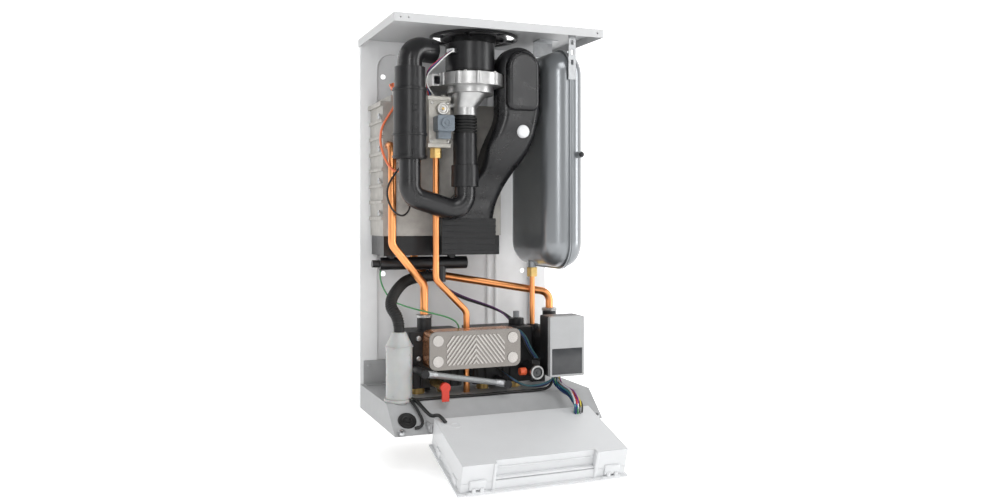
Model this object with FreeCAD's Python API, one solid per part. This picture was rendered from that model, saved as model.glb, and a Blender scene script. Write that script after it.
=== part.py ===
"""Wall-hung condensing gas boiler with its front casing off and its control box hanging open.

X runs to the right, the wall is the plane Y = 0 and the front looks along -Y, Z is up.
Pieces are drawn with Z = 0 at the chassis' lower edge. On export they drop by WALL_HOLE_MID_Z, so that the
origin is the middle of the four wall bolts, on the wall.
"""
import FreeCAD
import Part
import math
import os

Vector = FreeCAD.Vector
X_AXIS = Vector(1, 0, 0)
Y_AXIS = Vector(0, 1, 0)
Z_AXIS = Vector(0, 0, 1)

# Chassis sheet metal
CASE_WIDTH = 400.0
CASE_HEIGHT = 720.0
CASE_DEPTH = 265.0
SHEET = 1.5
CLEARANCE = 0.3
RUNNING_CLEARANCE = 0.05
OVERRUN = 5.0
MARGIN_DEPTH = 12.0
MARGIN_WIDTH = 34.0
RECESS_RADIUS = 30.0
RECESS_FOOT = 50.0
RECESS_HEAD = 25.0
WALL_HOLE_SPACING_X = 300.0
WALL_HOLE_FOOT_Z = 260.0
WALL_HOLE_DROP = 70.0
WALL_HOLE_RADIUS = 5.0
PANEL_RIB_PLACES = (70.0, 88.0)
PANEL_RIB_WIDTH = 5.0
PANEL_RIB_PROUD = 3.0
LIP_HEIGHT = 15.0
LIP_HOLE_RADIUS = 1.6
LIP_HOLE_INSETS = (12.0, 26.0)

# Base tray and its brackets
DECK_Z = 46.0
APRON_RUN = 54.0
TRAY_SIDE_GAP = 2.0
BRACKET_WIDTH = 44.0
BRACKET_HEIGHT = 46.0
BRACKET_INSET = 6.0
BRACKET_SCREW_RADIUS = 4.0
BRACKET_SCREW_HEAD = 2.5

# Flue adapter in the top panel, for an 80/125 concentric flue
FLUE_X = 0.0
FLUE_Y = -112.0
FLUE_OPENING_RADIUS = 80.0
FLUE_RING_RADIUS = 85.0
FLUE_RING_THICK = 5.0
AIR_COLLAR_RADIUS = 62.5
AIR_COLLAR_WALL = 3.0
AIR_COLLAR_RISE = 18.0
AIR_COLLAR_SHOULDER = 2.0
FLUE_SOCKET_RADIUS = 40.15
FLUE_SOCKET_WALL = 3.0
FLUE_SOCKET_DEPTH = 34.0
FLUE_TAB_WIDTH = 8.0
FLUE_TAB_COUNT = 6
FLUE_RIB_WIDTH = 3.0
FLUE_RIB_COUNT = 3

# Flue duct: sections from the foot up to the straight upper part, by their share of the way up
DUCT_WALL = 3.0
DUCT_FACE_Y = -223.0
DUCT_BACK_Y = -172.0
DUCT_LEFT_X = 12.0
DUCT_RIGHT_X = 96.0
DUCT_STRAIGHT_DROP = 152.0
DUCT_DOME_DROP = 75.0
DUCT_CORNER = 18.0
DUCT_SECTION_SHARES = (0.15, 0.30, 0.43, 0.58, 0.76)
DUCT_SECTION_LEFT_X = (-62.0, -34.0, -12.0, -7.0, 0.0)
DUCT_SECTION_RIGHT_X = (33.0, 46.0, 58.0, 73.0, 86.0)
DUCT_SECTION_FRONT_Y = (-162.0, -166.0, -182.0, -204.0, -219.0)
DUCT_SECTION_BACK_Y = (-118.0, -118.0, -122.0, -140.0, -162.0)
DUCT_PAD_PROUD = 12.0
DUCT_PAD_INSET = 10.5
DUCT_PAD_CORNER = 14.0
DUCT_PAD_EDGE = 8.0
DUCT_RISER_RADIUS = 37.0
DUCT_RISER_FOOT_DROP = 114.0
DUCT_BRANCH_RADIUS = 26.0
COLLECTOR_LEFT_X = -81.0
COLLECTOR_RIGHT_X = 26.0
COLLECTOR_FRONT_Y = -162.0
COLLECTOR_FOOT_Z = 304.0
COLLECTOR_HEAD_Z = 370.0
COLLECTOR_RIB_COUNT = 6
COLLECTOR_RIB_PROUD = 1.5
COLLECTOR_RIB_HEIGHT = 3.0

# Heat exchanger
EXCHANGER_LEFT_X = -180.0
EXCHANGER_RIGHT_X = 55.0
EXCHANGER_BACK_Y = -20.0
EXCHANGER_FRONT_Y = -115.0
EXCHANGER_FOOT_Z = 337.0
EXCHANGER_HEAD_DROP = 133.0
EXCHANGER_WALL = 9.0
EXCHANGER_FLANGE = 5.0
EXCHANGER_FLANGE_THICK = 8.0
EXCHANGER_FIN_COUNT = 7
EXCHANGER_FIN_PROUD = 3.0
EXCHANGER_FIN_HEIGHT = 6.0
EXCHANGER_FOOT_PAD = 30.0
EXCHANGER_FOOT_INSET = 20.0
TRAY_BAND_HEIGHT = 37.0
TRAY_BAND_INSET = 2.0
MANIFOLD_RADIUS = 12.0
MANIFOLD_Y = -96.0
MANIFOLD_DROP = 15.0
MANIFOLD_RIGHT_X = -10.0
MANIFOLD_LEFT_X = -182.0
MANIFOLD_STUB_RADIUS = 8.0
MANIFOLD_STUB_PLACES = (-160.0, -40.0)
SENSOR_RADIUS = 7.0
SENSOR_LENGTH = 14.0
DOOR_THICK = 12.0
DOOR_LEFT_X = -165.0
DOOR_RIGHT_X = -42.0
BURNER_RADIUS = 26.0
BURNER_LENGTH_SHARE = 0.6
BURNER_WALL = 2.0
BURNER_X = -80.0
BURNER_NECK_RADIUS = 18.0
ELECTRODE_X = -148.0
ELECTRODE_Y = -75.0
ELECTRODE_RADIUS = 4.0
ELECTRODE_RISE = 22.0
ELECTRODE_BOOT_RADIUS = 6.5
ELECTRODE_BOOT_HEIGHT = 14.0
ELECTRODE_DEPTH = 40.0
VALVE_SCREW_RADIUS = 4.0
VALVE_SCREW_HEAD = 4.0
VALVE_SCREW_INSET = 10.0

# Fan, with the venturi, sleeve and mixer tube below it
FAN_X = -35.0
MIXER_X = -45.0
FAN_Y = -188.0
FAN_RADIUS = 61.0
FAN_WALL = 4.0
FAN_FOOT_DROP = 110.0
FAN_HEAD_DROP = 88.0
FAN_LUG_RADIUS = 7.0
FAN_LUG_COUNT = 5
FAN_OUTLET_LEFT_X = -108.0
FAN_OUTLET_RIGHT_X = -52.0
FAN_OUTLET_BACK_Y = -62.0
FAN_GAP = 2.5
FAN_SHAFT_RADIUS = 4.0
FAN_BLADE_COUNT = 10
FAN_BLADE_THICK = 2.0
FAN_HUB_RADIUS = 16.0
MOTOR_RADIUS = 45.0
MOTOR_WALL = 3.0
MOTOR_HEAD_DROP = 32.0
MOTOR_STEP_DROP = 82.0
MOTOR_STEP_RADIUS = 43.0
FAN_PLUG_WIDTH = 18.0
FAN_PLUG_DEPTH = 8.0
FAN_PLUG_HEIGHT = 9.0
FAN_PLUG_DROP = 54.0
FAN_PLUG_TURN = -60.0      # degrees from straight ahead, seen from above
VENTURI_FLANGE_RADIUS = 42.5
VENTURI_FLANGE_FOOT_DROP = 122.0
VENTURI_RADIUS = 21.5
VENTURI_CONE_RADIUS = 33.0
VENTURI_CONE_HEIGHT = 26.0
VENTURI_BORE_RADIUS = 15.0
VENTURI_FOOT_DROP = 162.0
VENTURI_BRANCH_RADIUS = 8.0
SLEEVE_FOOT_DROP = 195.0
SLEEVE_RADIUS = 19.5
SLEEVE_RIB = 3.0
SLEEVE_RIB_COUNT = 5
MIXER_RADIUS = 21.5
MIXER_WALL = 3.0
MIXER_COLLAR_DROP = 253.0
MIXER_COLLAR_RADIUS = 25.0
MIXER_COLLAR_LENGTH = 39.0

# Air intake
SILENCER_X = -152.0
SILENCER_Y = -196.0
SILENCER_RADIUS = 29.5
SILENCER_FOOT_DROP = 244.0
SILENCER_HEAD_DROP = 117.0
SILENCER_WALL = 2.5
SILENCER_BAND = 2.0
SILENCER_BAND_HEIGHT = 4.0
SILENCER_BAND_SHARES = (0.03, 0.34, 0.97)
SILENCER_COLLAR_RADIUS = 27.5
SILENCER_COLLAR_HEAD_DROP = 81.0
AIR_HOSE_RADIUS = 19.5
AIR_HOSE_WALL = 2.5
AIR_HOSE_LEFT_REACH = 66.0
AIR_HOSE_RIGHT_REACH = 50.0
AIR_HOSE_BEND = 27.0
INTAKE_RADIUS = 22.0
INTAKE_TURN_DROP = 46.0
INTAKE_BEND = 26.0
INTAKE_MOUTH_X = -104.0
INTAKE_MOUTH_Y = -176.0

# Gas valve
VALVE_LEFT_X = -112.0
VALVE_RIGHT_X = -71.0
VALVE_FRONT_Y = -182.0
VALVE_BACK_Y = -134.0
VALVE_FOOT_DROP = 221.0
VALVE_HEAD_DROP = 128.0
VALVE_FLANGE = 3.0
VALVE_FLANGE_THICK = 7.0
COIL_LEFT_X = -104.0
COIL_RIGHT_X = -72.0
COIL_DEPTH = 27.0
COIL_FOOT_DROP = 193.0
COIL_HEIGHT = 29.0
COIL_CORNER = 4.0
VALVE_CAP_RADIUS = 11.0
VALVE_CAP_THICK = 7.0
VALVE_CAP_RISE = 70.0
VALVE_PLUG_WIDTH = 14.0
VALVE_PLUG_HEIGHT = 13.0
VALVE_PLUG_DEPTH = 16.0

# Pipes
WATER_PIPE_RADIUS = 7.5
GAS_PIPE_RADIUS = 6.0
VESSEL_PIPE_RADIUS = 5.0
PIPE_WALL = 1.0
PIPE_BEND = 20.0
NUT_RADIUS = 11.0
GAS_NUT_HEIGHT = 18.0
GAS_PIPE_X = -91.0
GAS_PIPE_Y = -158.0
GAS_TAIL_X = -31.0
GAS_KNEE_Z = 257.0
GAS_ELBOW_Z = 196.0
FLOW_PIPE_X = -169.0
FLOW_PIPE_Y = -140.0
FLOW_HEAD_DROP = 215.0
FLOW_KNEE_Z = 321.0
FLOW_ELBOW_Z = 247.0
FLOW_FOOT_X = -108.0
RETURN_HEAD_X = -104.0
RETURN_HEAD_Y = -60.0
RETURN_KNEE_Z = 268.0
RETURN_FOOT_X = 160.0
RETURN_FOOT_Y = -114.0
RETURN_ELBOW_Z = 223.0
TAIL_RADIUS = 11.0
SMALL_TAIL_RADIUS = 7.5
TAIL_COLLAR = 4.0
TAIL_COLLAR_Z = 34.0
TAIL_FOOT_Z = -12.0
HOLE_GAP = 1.5

# Expansion vessel
VESSEL_SEAM_X = 143.0
VESSEL_LEFT_DEPTH = 45.0
VESSEL_RIGHT_DEPTH = 31.0
VESSEL_FRONT_Y = -245.0
VESSEL_BACK_Y = -43.0
VESSEL_FOOT_Z = 278.0
VESSEL_HEAD_DROP = 35.0
VESSEL_CORNER = 48.0
VESSEL_LEFT_EDGE = 38.0
VESSEL_RIGHT_EDGE = 26.0
VESSEL_WALL = 2.0
VESSEL_RIM = 4.0
VESSEL_RIM_THICK = 3.0
DIAPHRAGM = 1.0
VESSEL_PORT_X = 118.0
VESSEL_PORT_Y = -125.0
VESSEL_NECK_RADIUS = 8.0
VESSEL_NECK = 4.0
VESSEL_NUT_HEIGHT = 18.0
VESSEL_VALVE_RADIUS = 6.0
VESSEL_VALVE_LENGTH = 12.0
VESSEL_VALVE_X = 158.0
VESSEL_VALVE_DROP = 232.0
STRAP_WIDTH = 15.0
STRAP_DROP = 92.0
STRAP_SLOT_SHARES = (0.3, 0.5, 0.7)
STRAP_FOOT = 14.0
STRAP_SLOT_WIDTH = 5.0
STRAP_SLOT_HEIGHT = 9.0
HANGER_WIDTH = 40.0
HANGER_FOOT = 30.0
HANGER_Y = -120.0

# Hydraulic blocks, plate exchanger and pump
BLOCK_BACK_Y = -95.0
BLOCK_FRONT_Y = -167.0
BLOCK_FOOT_Z = 60.0
BLOCK_HEAD_Z = 163.0
LEFT_BLOCK_LEFT_X = -146.0
LEFT_BLOCK_RIGHT_X = -42.0
RIGHT_BLOCK_LEFT_X = -20.0
RIGHT_BLOCK_RIGHT_X = 103.0
BLOCK_EDGE = 6.0
BLOCK_STAND = 14.0
BOSS_WALL = 6.0
BOSS_HEAD_Z = 186.0
PLATE_LEFT_X = -120.0
PLATE_RIGHT_X = 56.0
PLATE_FOOT_Z = 98.0
PLATE_HEAD_Z = 167.0
PLATE_DEPTH = 44.0
PLATE_CORNER = 12.0
PLATE_COUNT = 9
PLATE_LIP = 1.2
PLATE_EDGE_SHARE = 0.7
FRONT_PLATE = 3.0
CHEVRON_COUNT = 17
CHEVRON_PITCH = 7.8
CHEVRON_WIDTH = 3.0
CHEVRON_PROUD = 1.8
CHEVRON_LEAN = 52.0
PORT_RADIUS = 10.0
PORT_PROUD = 1.6
PORT_INSET = 16.0
PUMP_LEFT_X = 103.0
PUMP_RIGHT_X = 173.0
PUMP_BACK_Y = -98.0
PUMP_FACE_Y = -195.0
PUMP_FRONT_Y = -240.0
PUMP_BOX_FOOT_Z = 77.0
PUMP_BOX_HEAD_Z = 188.0
PUMP_BOX_CORNER = 3.0
PUMP_AXIS_Z = 124.0
PUMP_WALL = 7.0
PUMP_SHAFT_RADIUS = 4.0
ROTOR_RADIUS = 24.0
ROTOR_LENGTH = 40.0
VANE_COUNT = 6
VANE_THICK = 3.0
PUMP_PANEL_HEIGHT = 48.0
PUMP_PANEL_INSET = 4.0
PUMP_PANEL_SINK = 1.0
VENT_X = 86.0
VENT_Y = -120.0
VENT_RADIUS = 15.0
VENT_HEIGHT = 12.0
VENT_NECK_RADIUS = 4.0
VENT_NECK = 20.0
VENT_CAP_RADIUS = 6.0
VENT_CAP_HEIGHT = 12.0
RELIEF_X = 84.0
RELIEF_Z = 85.0
RELIEF_RADIUS = 12.7
RELIEF_FRONT_Y = -225.0
RELIEF_STEM_RADIUS = 3.0
RELIEF_STEM = 6.0
RELIEF_KNOB_RADIUS = 7.0
RELIEF_KNOB = 12.0
RELIEF_KNOB_Y = -203.0

# Filling group
FILL_X = -98.0
FILL_Z = 71.0
FILL_RADIUS = 8.0
FILL_BODY_FRONT_Y = -228.0
FILL_PIN_RADIUS = 3.0
FILL_HUB_RADIUS = 9.0
FILL_HUB_THICK = 8.0
FILL_LEVER_WIDTH = 13.0
FILL_LEVER_LENGTH = 24.0
FILL_LEVER_THICK = 5.0
HOSE_RADIUS = 5.5
HOSE_Y = -222.0
HOSE_LEFT_X = -133.0
HOSE_LEFT_Z = 96.0
HOSE_RIGHT_X = 24.0
HOSE_RIGHT_Z = 68.0
FITTING_RADIUS = 7.5
FERRULE_RADIUS = 6.8
FERRULE_LENGTH = 14.0

# Condensate trap and its ribbed hose
TRAP_X = -170.0
TRAP_Y = -190.0
TRAP_RADIUS = 23.5
TRAP_WALL = 2.5
TRAP_FOOT_Z = 28.0
TRAP_HEAD_Z = 142.0
TRAP_COLLAR = 2.0
TRAP_COLLAR_HEIGHT = 5.0
TRAP_CAP_HEAD_Z = 168.0
TRAP_CAP_NECK_RADIUS = 12.0
TRAP_SPIGOT_RADIUS = 10.75
TRAP_SPIGOT_FOOT_Z = -14.0
DRAIN_HOSE_RADIUS = 9.5
DRAIN_HOSE_RIB = 1.5
DRAIN_HOSE_WALL = 2.0
DRAIN_HOSE_RIBS = 24
DRAIN_HOSE_BEND = 26.0
DRAIN_X = -62.0
DRAIN_PORT_RADIUS = 10.5
DRAIN_PORT_DROP = 26.0
DRAIN_PORT_LENGTH = 18.0
DRAIN_ROUTE_X = (-122.0, -158.0, -182.0)
DRAIN_ROUTE_Y = (-96.0, -127.0, -164.0)
DRAIN_ROUTE_Z = (259.0, 239.0, 213.0)
DRAIN_TURN_Z = 192.0

# Control box, drawn level about its hinge and then dropped by its hanging angle
HINGE_OUT = 3.0
HINGE_Z = 12.0
HANG_ANGLE = 17.0
BOX_LEFT_X = -134.0
BOX_RIGHT_X = 160.0
BOX_START = 8.0
BOX_END = 158.0
BOX_HEAD = 20.0
BOX_SEAM = -12.0
BOX_FOOT = -31.0
BOX_WALL = 3.0
BOX_FLANGE = 5.0
BOX_FLANGE_THICK = 3.0
BOX_STEP_DEPTH = 8.0
BOX_POST_WIDTH = 58.0
HINGE_PIN_RADIUS = 3.0
HINGE_LUG_RADIUS = 5.2
HINGE_LUG_THICK = 5.0
HINGE_EAR_THICK = 4.0
HINGE_EAR_GAP = 1.0
HINGE_EAR_HALF = 7.0
HINGE_EAR_BACK = 20.0
BOARD_INSET = 8.0
BOARD_THICK = 1.6
CHIP_SHARES = (0.2, 0.45, 0.7)
BOARD_POST_RADIUS = 3.0
CHIP_SIZE = 18.0
CHIP_HEIGHT = 6.0
DISPLAY_WIDTH = 70.0
DISPLAY_LENGTH = 40.0
DISPLAY_SHARE = 0.55
BUTTON_RADIUS = 8.0
BUTTON_STEM_RADIUS = 5.0
BUTTON_PROUD = 2.0
BUTTON_TRAVEL = 1.5
BUTTON_X = 80.0

# Leads: the places that each one passes, between its two ends
LEAD_RADIUS = 2.2
HARNESS_RADIUS = 5.0
ARC_SHARE = 0.45
IGNITION_ROUTE_X = (-164.0, -158.0, -160.0, -174.0, -187.0, -190.0, -183.0, -172.0, -152.0, -142.0, -136.0)
IGNITION_ROUTE_Y = (-94.0, -124.0, -128.0, -128.0, -130.0, -132.0, -140.0, -155.0, -160.0, -160.0, -158.0)
IGNITION_ROUTE_DROP = (98.0, 114.0, 142.0, 162.0, 184.0, 212.0, 242.0, 265.0, 263.0, 234.0, 206.0)
HARNESS_START_X = 128.0
HARNESS_START_Y = -214.0
HARNESS_DIP_Z = 60.0
HARNESS_ROUTE_X = (132.0, 134.0, 130.0)
HARNESS_ROUTE_OUT = (-25.0, 3.0, 23.0)
HARNESS_ROUTE_Z = (52.0, 50.0, 46.0)
HARNESS_END_X = 128.0
HARNESS_END_REACH = 30.0
HARNESS_END_RISE = 16.0

# Shares of one rib's length where the ribbed tubes change radius, with or without the rib's height
RIB_SHARES = ((0.0, 0.0), (0.25, 1.0), (0.6, 1.0), (0.85, 0.0))

# Places that follow from the sizes above: most of the upper pieces hang from the case's head
WALL_HOLE_SPACING_Z = CASE_HEIGHT - WALL_HOLE_DROP - WALL_HOLE_FOOT_Z
WALL_HOLE_MID_Z = WALL_HOLE_FOOT_Z + WALL_HOLE_SPACING_Z / 2
DUCT_STRAIGHT_Z = CASE_HEIGHT - DUCT_STRAIGHT_DROP
DUCT_DOME_Z = CASE_HEIGHT - DUCT_DOME_DROP
DUCT_RISER_FOOT_Z = CASE_HEIGHT - DUCT_RISER_FOOT_DROP
EXCHANGER_HEAD_Z = CASE_HEIGHT - EXCHANGER_HEAD_DROP
FAN_FOOT_Z = CASE_HEIGHT - FAN_FOOT_DROP
FAN_HEAD_Z = CASE_HEIGHT - FAN_HEAD_DROP
MOTOR_HEAD_Z = CASE_HEIGHT - MOTOR_HEAD_DROP
MOTOR_STEP_Z = CASE_HEIGHT - MOTOR_STEP_DROP
FAN_PLUG_Z = CASE_HEIGHT - FAN_PLUG_DROP
VENTURI_FLANGE_FOOT_Z = CASE_HEIGHT - VENTURI_FLANGE_FOOT_DROP
VENTURI_FOOT_Z = CASE_HEIGHT - VENTURI_FOOT_DROP
SLEEVE_FOOT_Z = CASE_HEIGHT - SLEEVE_FOOT_DROP
MIXER_COLLAR_Z = CASE_HEIGHT - MIXER_COLLAR_DROP
SILENCER_FOOT_Z = CASE_HEIGHT - SILENCER_FOOT_DROP
SILENCER_HEAD_Z = CASE_HEIGHT - SILENCER_HEAD_DROP
SILENCER_COLLAR_HEAD_Z = CASE_HEIGHT - SILENCER_COLLAR_HEAD_DROP
INTAKE_TURN_Z = CASE_HEIGHT - INTAKE_TURN_DROP
VALVE_FOOT_Z = CASE_HEIGHT - VALVE_FOOT_DROP
VALVE_HEAD_Z = CASE_HEIGHT - VALVE_HEAD_DROP
COIL_FOOT_Z = CASE_HEIGHT - COIL_FOOT_DROP
FLOW_HEAD_Z = CASE_HEIGHT - FLOW_HEAD_DROP
VESSEL_HEAD_Z = CASE_HEIGHT - VESSEL_HEAD_DROP
VESSEL_VALVE_Z = CASE_HEIGHT - VESSEL_VALVE_DROP
MIXER_FOOT_Z = MIXER_COLLAR_Z - MIXER_COLLAR_LENGTH
AIR_HOSE_LEFT_Z = SILENCER_FOOT_Z - AIR_HOSE_LEFT_REACH
AIR_HOSE_RIGHT_Z = MIXER_FOOT_Z - AIR_HOSE_RIGHT_REACH
BURNER_LENGTH = (EXCHANGER_HEAD_Z - EXCHANGER_FOOT_Z) * BURNER_LENGTH_SHARE
HINGE_Y = -CASE_DEPTH - HINGE_OUT


def box(x0, x1, y0, y1, z0, z1):
    corner = Vector(min(x0, x1), min(y0, y1), min(z0, z1))
    return Part.makeBox(abs(x1 - x0), abs(y1 - y0), abs(z1 - z0), corner)


def post(x, y, z0, z1, radius):
    return Part.makeCylinder(radius, z1 - z0, Vector(x, y, z0), Z_AXIS)


def bar_y(x, z, y0, y1, radius):
    low = min(y0, y1)
    return Part.makeCylinder(radius, abs(y1 - y0), Vector(x, low, z), Y_AXIS)


def bar_x(y, z, x0, x1, radius):
    low = min(x0, x1)
    return Part.makeCylinder(radius, abs(x1 - x0), Vector(low, y, z), X_AXIS)


def tube(x, y, z0, z1, radius, wall):
    outer = post(x, y, z0, z1, radius)
    return outer.cut(post(x, y, z0 - OVERRUN, z1 + OVERRUN, radius - wall))


def hexagon(x, y, z0, z1, radius):
    points = []
    for step in range(7):
        turn = math.radians(60 * step)
        points.append(Vector(x + radius * math.cos(turn), y + radius * math.sin(turn), z0))
    face = Part.Face(Part.makePolygon(points))
    return face.extrude(Vector(0, 0, z1 - z0))


def fuse_all(shapes):
    whole = shapes[0]
    for shape in shapes[1:]:
        whole = whole.fuse(shape)
    return whole.removeSplitter()


def cut_all(shape, tools):
    for tool in tools:
        shape = shape.cut(tool)
    return shape


def rounded_plate(u0, u1, v0, v1, radius, thick, place):
    """A rounded rectangle in two coordinates, thickened; place turns (u, v, w) into a point."""
    plate = box(u0, u1, v0, v1, 0, thick)
    upright = [edge for edge in plate.Edges if abs(edge.BoundBox.ZLength - thick) < CLEARANCE]
    rounded = plate.makeFillet(radius, upright)
    rounded.Placement = place
    return rounded


def upright_plate(x0, x1, z0, z1, radius, y_front, thick):
    """A rounded rectangle seen from the front, reaching back from y_front by thick."""
    place = FreeCAD.Placement(Vector(0, y_front + thick, 0), FreeCAD.Rotation(X_AXIS, 90))
    return rounded_plate(x0, x1, z0, z1, radius, thick, place)


def route_wire(points, bend):
    """Straight runs joined by tangent arcs of one bend radius."""
    edges = []
    start = points[0]
    for before, corner, after in zip(points, points[1:], points[2:]):
        back = (before - corner).normalize()
        ahead = (after - corner).normalize()
        half = back.getAngle(ahead) / 2
        reach = bend / math.tan(half)
        arc_start = corner + back * reach
        arc_end = corner + ahead * reach
        middle_way = (back + ahead).normalize()
        arc_middle = corner + middle_way * (bend / math.sin(half) - bend)
        edges.append(Part.LineSegment(start, arc_start).toShape())
        edges.append(Part.Arc(arc_start, arc_middle, arc_end).toShape())
        start = arc_end
    edges.append(Part.LineSegment(start, points[-1]).toShape())
    return Part.Wire(edges)


def swept_rod(points, radius, bend):
    path = route_wire(points, bend)
    section = Part.Wire(Part.makeCircle(radius, points[0], points[1] - points[0]))
    return path.makePipeShell([section], True, False)


def swept_tube(points, radius, wall, bend):
    return swept_rod(points, radius, bend).cut(swept_rod(points, radius - wall, bend))


def lead_rod(points, radius):
    """A cord's tube, each arc as large as its two runs allow."""
    edges = []
    start = points[0]
    for before, corner, after in zip(points, points[1:], points[2:]):
        back = before - corner
        ahead = after - corner
        reach = ARC_SHARE * min(back.Length, ahead.Length)
        half = back.getAngle(ahead) / 2
        bend = reach * math.tan(half)
        back.normalize()
        ahead.normalize()
        middle_way = (back + ahead).normalize()
        arc_start = corner + back * reach
        arc_end = corner + ahead * reach
        arc_middle = corner + middle_way * (bend / math.sin(half) - bend)
        edges.append(Part.LineSegment(start, arc_start).toShape())
        edges.append(Part.Arc(arc_start, arc_middle, arc_end).toShape())
        start = arc_end
    edges.append(Part.LineSegment(start, points[-1]).toShape())
    path = Part.Wire(edges)
    section = Part.Wire(Part.makeCircle(radius, points[0], points[1] - points[0]))
    return path.makePipeShell([section], True, False)


def ribbed_tube(path, radius, rib, count, straight):
    """A ruled loft of four circles per rib along a wire, plain for a straight length at both ends."""
    length = path.Length
    pitch = (length - straight - straight) / count
    rings = [(0.0, radius)]
    for step in range(count):
        foot = straight + pitch * step
        for along_share, rib_share in RIB_SHARES:
            rings.append((foot + pitch * along_share, radius + rib * rib_share))
    rings.append((length, radius))
    circles = []
    for place, size in rings:
        point, way = point_on(path, place)
        circles.append(ring_wire(point, way, size))
    return Part.makeLoft(circles, True, True)


def point_on(path, place):
    """The point and heading at a distance along a wire of lines and arcs."""
    left = place
    for edge in path.OrderedEdges:
        if left <= edge.Length + Part.Precision.confusion():
            break
        left -= edge.Length
    first, last = edge.FirstParameter, edge.LastParameter
    value = first + (last - first) * min(left / edge.Length, 1)
    heading = edge.tangentAt(value)
    point = edge.valueAt(value)
    if edge.Orientation == "Reversed":
        value = last - (last - first) * min(left / edge.Length, 1)
        heading = edge.tangentAt(value) * -1
        point = edge.valueAt(value)
    return point, heading


def ring_wire(point, way, radius):
    """A circle square to way, its start kept on the side of one fixed direction."""
    side = Y_AXIS.cross(way)
    side.normalize()
    frame = Part.Circle(point, way, radius)
    frame.XAxis = side
    return Part.Wire(frame.toShape())


def back_panel():
    half = CASE_WIDTH / 2 - SHEET - CLEARANCE
    head = CASE_HEIGHT - SHEET
    block = box(-half, half, -MARGIN_DEPTH, 0, 0, head)
    recess_half = half - MARGIN_WIDTH
    recess_head = head - RECESS_HEAD
    pocket = upright_plate(-recess_half, recess_half, RECESS_FOOT, recess_head, RECESS_RADIUS,
                           -MARGIN_DEPTH - OVERRUN, MARGIN_DEPTH + OVERRUN - SHEET)
    pan = upright_plate(-recess_half - SHEET, recess_half + SHEET, RECESS_FOOT - SHEET,
                        recess_head + SHEET, RECESS_RADIUS + SHEET, -MARGIN_DEPTH + SHEET, MARGIN_DEPTH)
    hollow = box(-half + SHEET, half - SHEET, -MARGIN_DEPTH + SHEET, OVERRUN, SHEET, head - SHEET)
    panel = block.cut(pocket).cut(hollow.cut(pan))
    ribs = []
    for place in PANEL_RIB_PLACES:
        ribs.append(box(place, place + PANEL_RIB_WIDTH, -SHEET - PANEL_RIB_PROUD, -SHEET,
                        RECESS_FOOT + RECESS_RADIUS, recess_head - RECESS_RADIUS))
    panel = fuse_all([panel] + ribs)
    holes = []
    for side in (-1, 1):
        for end in (-1, 1):
            x = side * WALL_HOLE_SPACING_X / 2
            z = WALL_HOLE_MID_Z + end * WALL_HOLE_SPACING_Z / 2
            holes.append(bar_y(x, z, -MARGIN_DEPTH, OVERRUN, WALL_HOLE_RADIUS))
    return cut_all(panel, holes)


def top_panel():
    half = CASE_WIDTH / 2
    head = CASE_HEIGHT
    block = box(-half, half, -CASE_DEPTH, 0, head - LIP_HEIGHT, head)
    hollow = box(-half + SHEET, half - SHEET, -CASE_DEPTH + SHEET, OVERRUN, head - LIP_HEIGHT - OVERRUN,
                 head - SHEET)
    panel = block.cut(hollow)
    panel = panel.cut(post(FLUE_X, FLUE_Y, head - LIP_HEIGHT, head + OVERRUN, FLUE_OPENING_RADIUS))
    holes = []
    places = [inset - half for inset in LIP_HOLE_INSETS]
    places.append(half - LIP_HOLE_INSETS[0])
    for place in places:
        holes.append(bar_y(place, head - LIP_HEIGHT / 2, -CASE_DEPTH - OVERRUN, -CASE_DEPTH + OVERRUN,
                           LIP_HOLE_RADIUS))
    return cut_all(panel, holes)


def tray_back_y():
    return -MARGIN_DEPTH - CLEARANCE


def tail_places():
    """Each bottom connection: x, y, the pipe's radius and where its collar starts."""
    y = (BLOCK_BACK_Y + BLOCK_FRONT_Y) / 2
    left_mid = (LEFT_BLOCK_LEFT_X + LEFT_BLOCK_RIGHT_X) / 2
    left_quarter = (LEFT_BLOCK_RIGHT_X - LEFT_BLOCK_LEFT_X) / 4
    right_mid = (RIGHT_BLOCK_LEFT_X + RIGHT_BLOCK_RIGHT_X) / 2
    right_quarter = (RIGHT_BLOCK_RIGHT_X - RIGHT_BLOCK_LEFT_X) / 4
    return (
        ("flow", left_mid - left_quarter, y, TAIL_RADIUS),
        ("hot", left_mid + left_quarter, y, SMALL_TAIL_RADIUS),
        ("cold", right_mid - right_quarter, y, SMALL_TAIL_RADIUS),
        ("return", right_mid + right_quarter, y, TAIL_RADIUS),
    )


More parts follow.
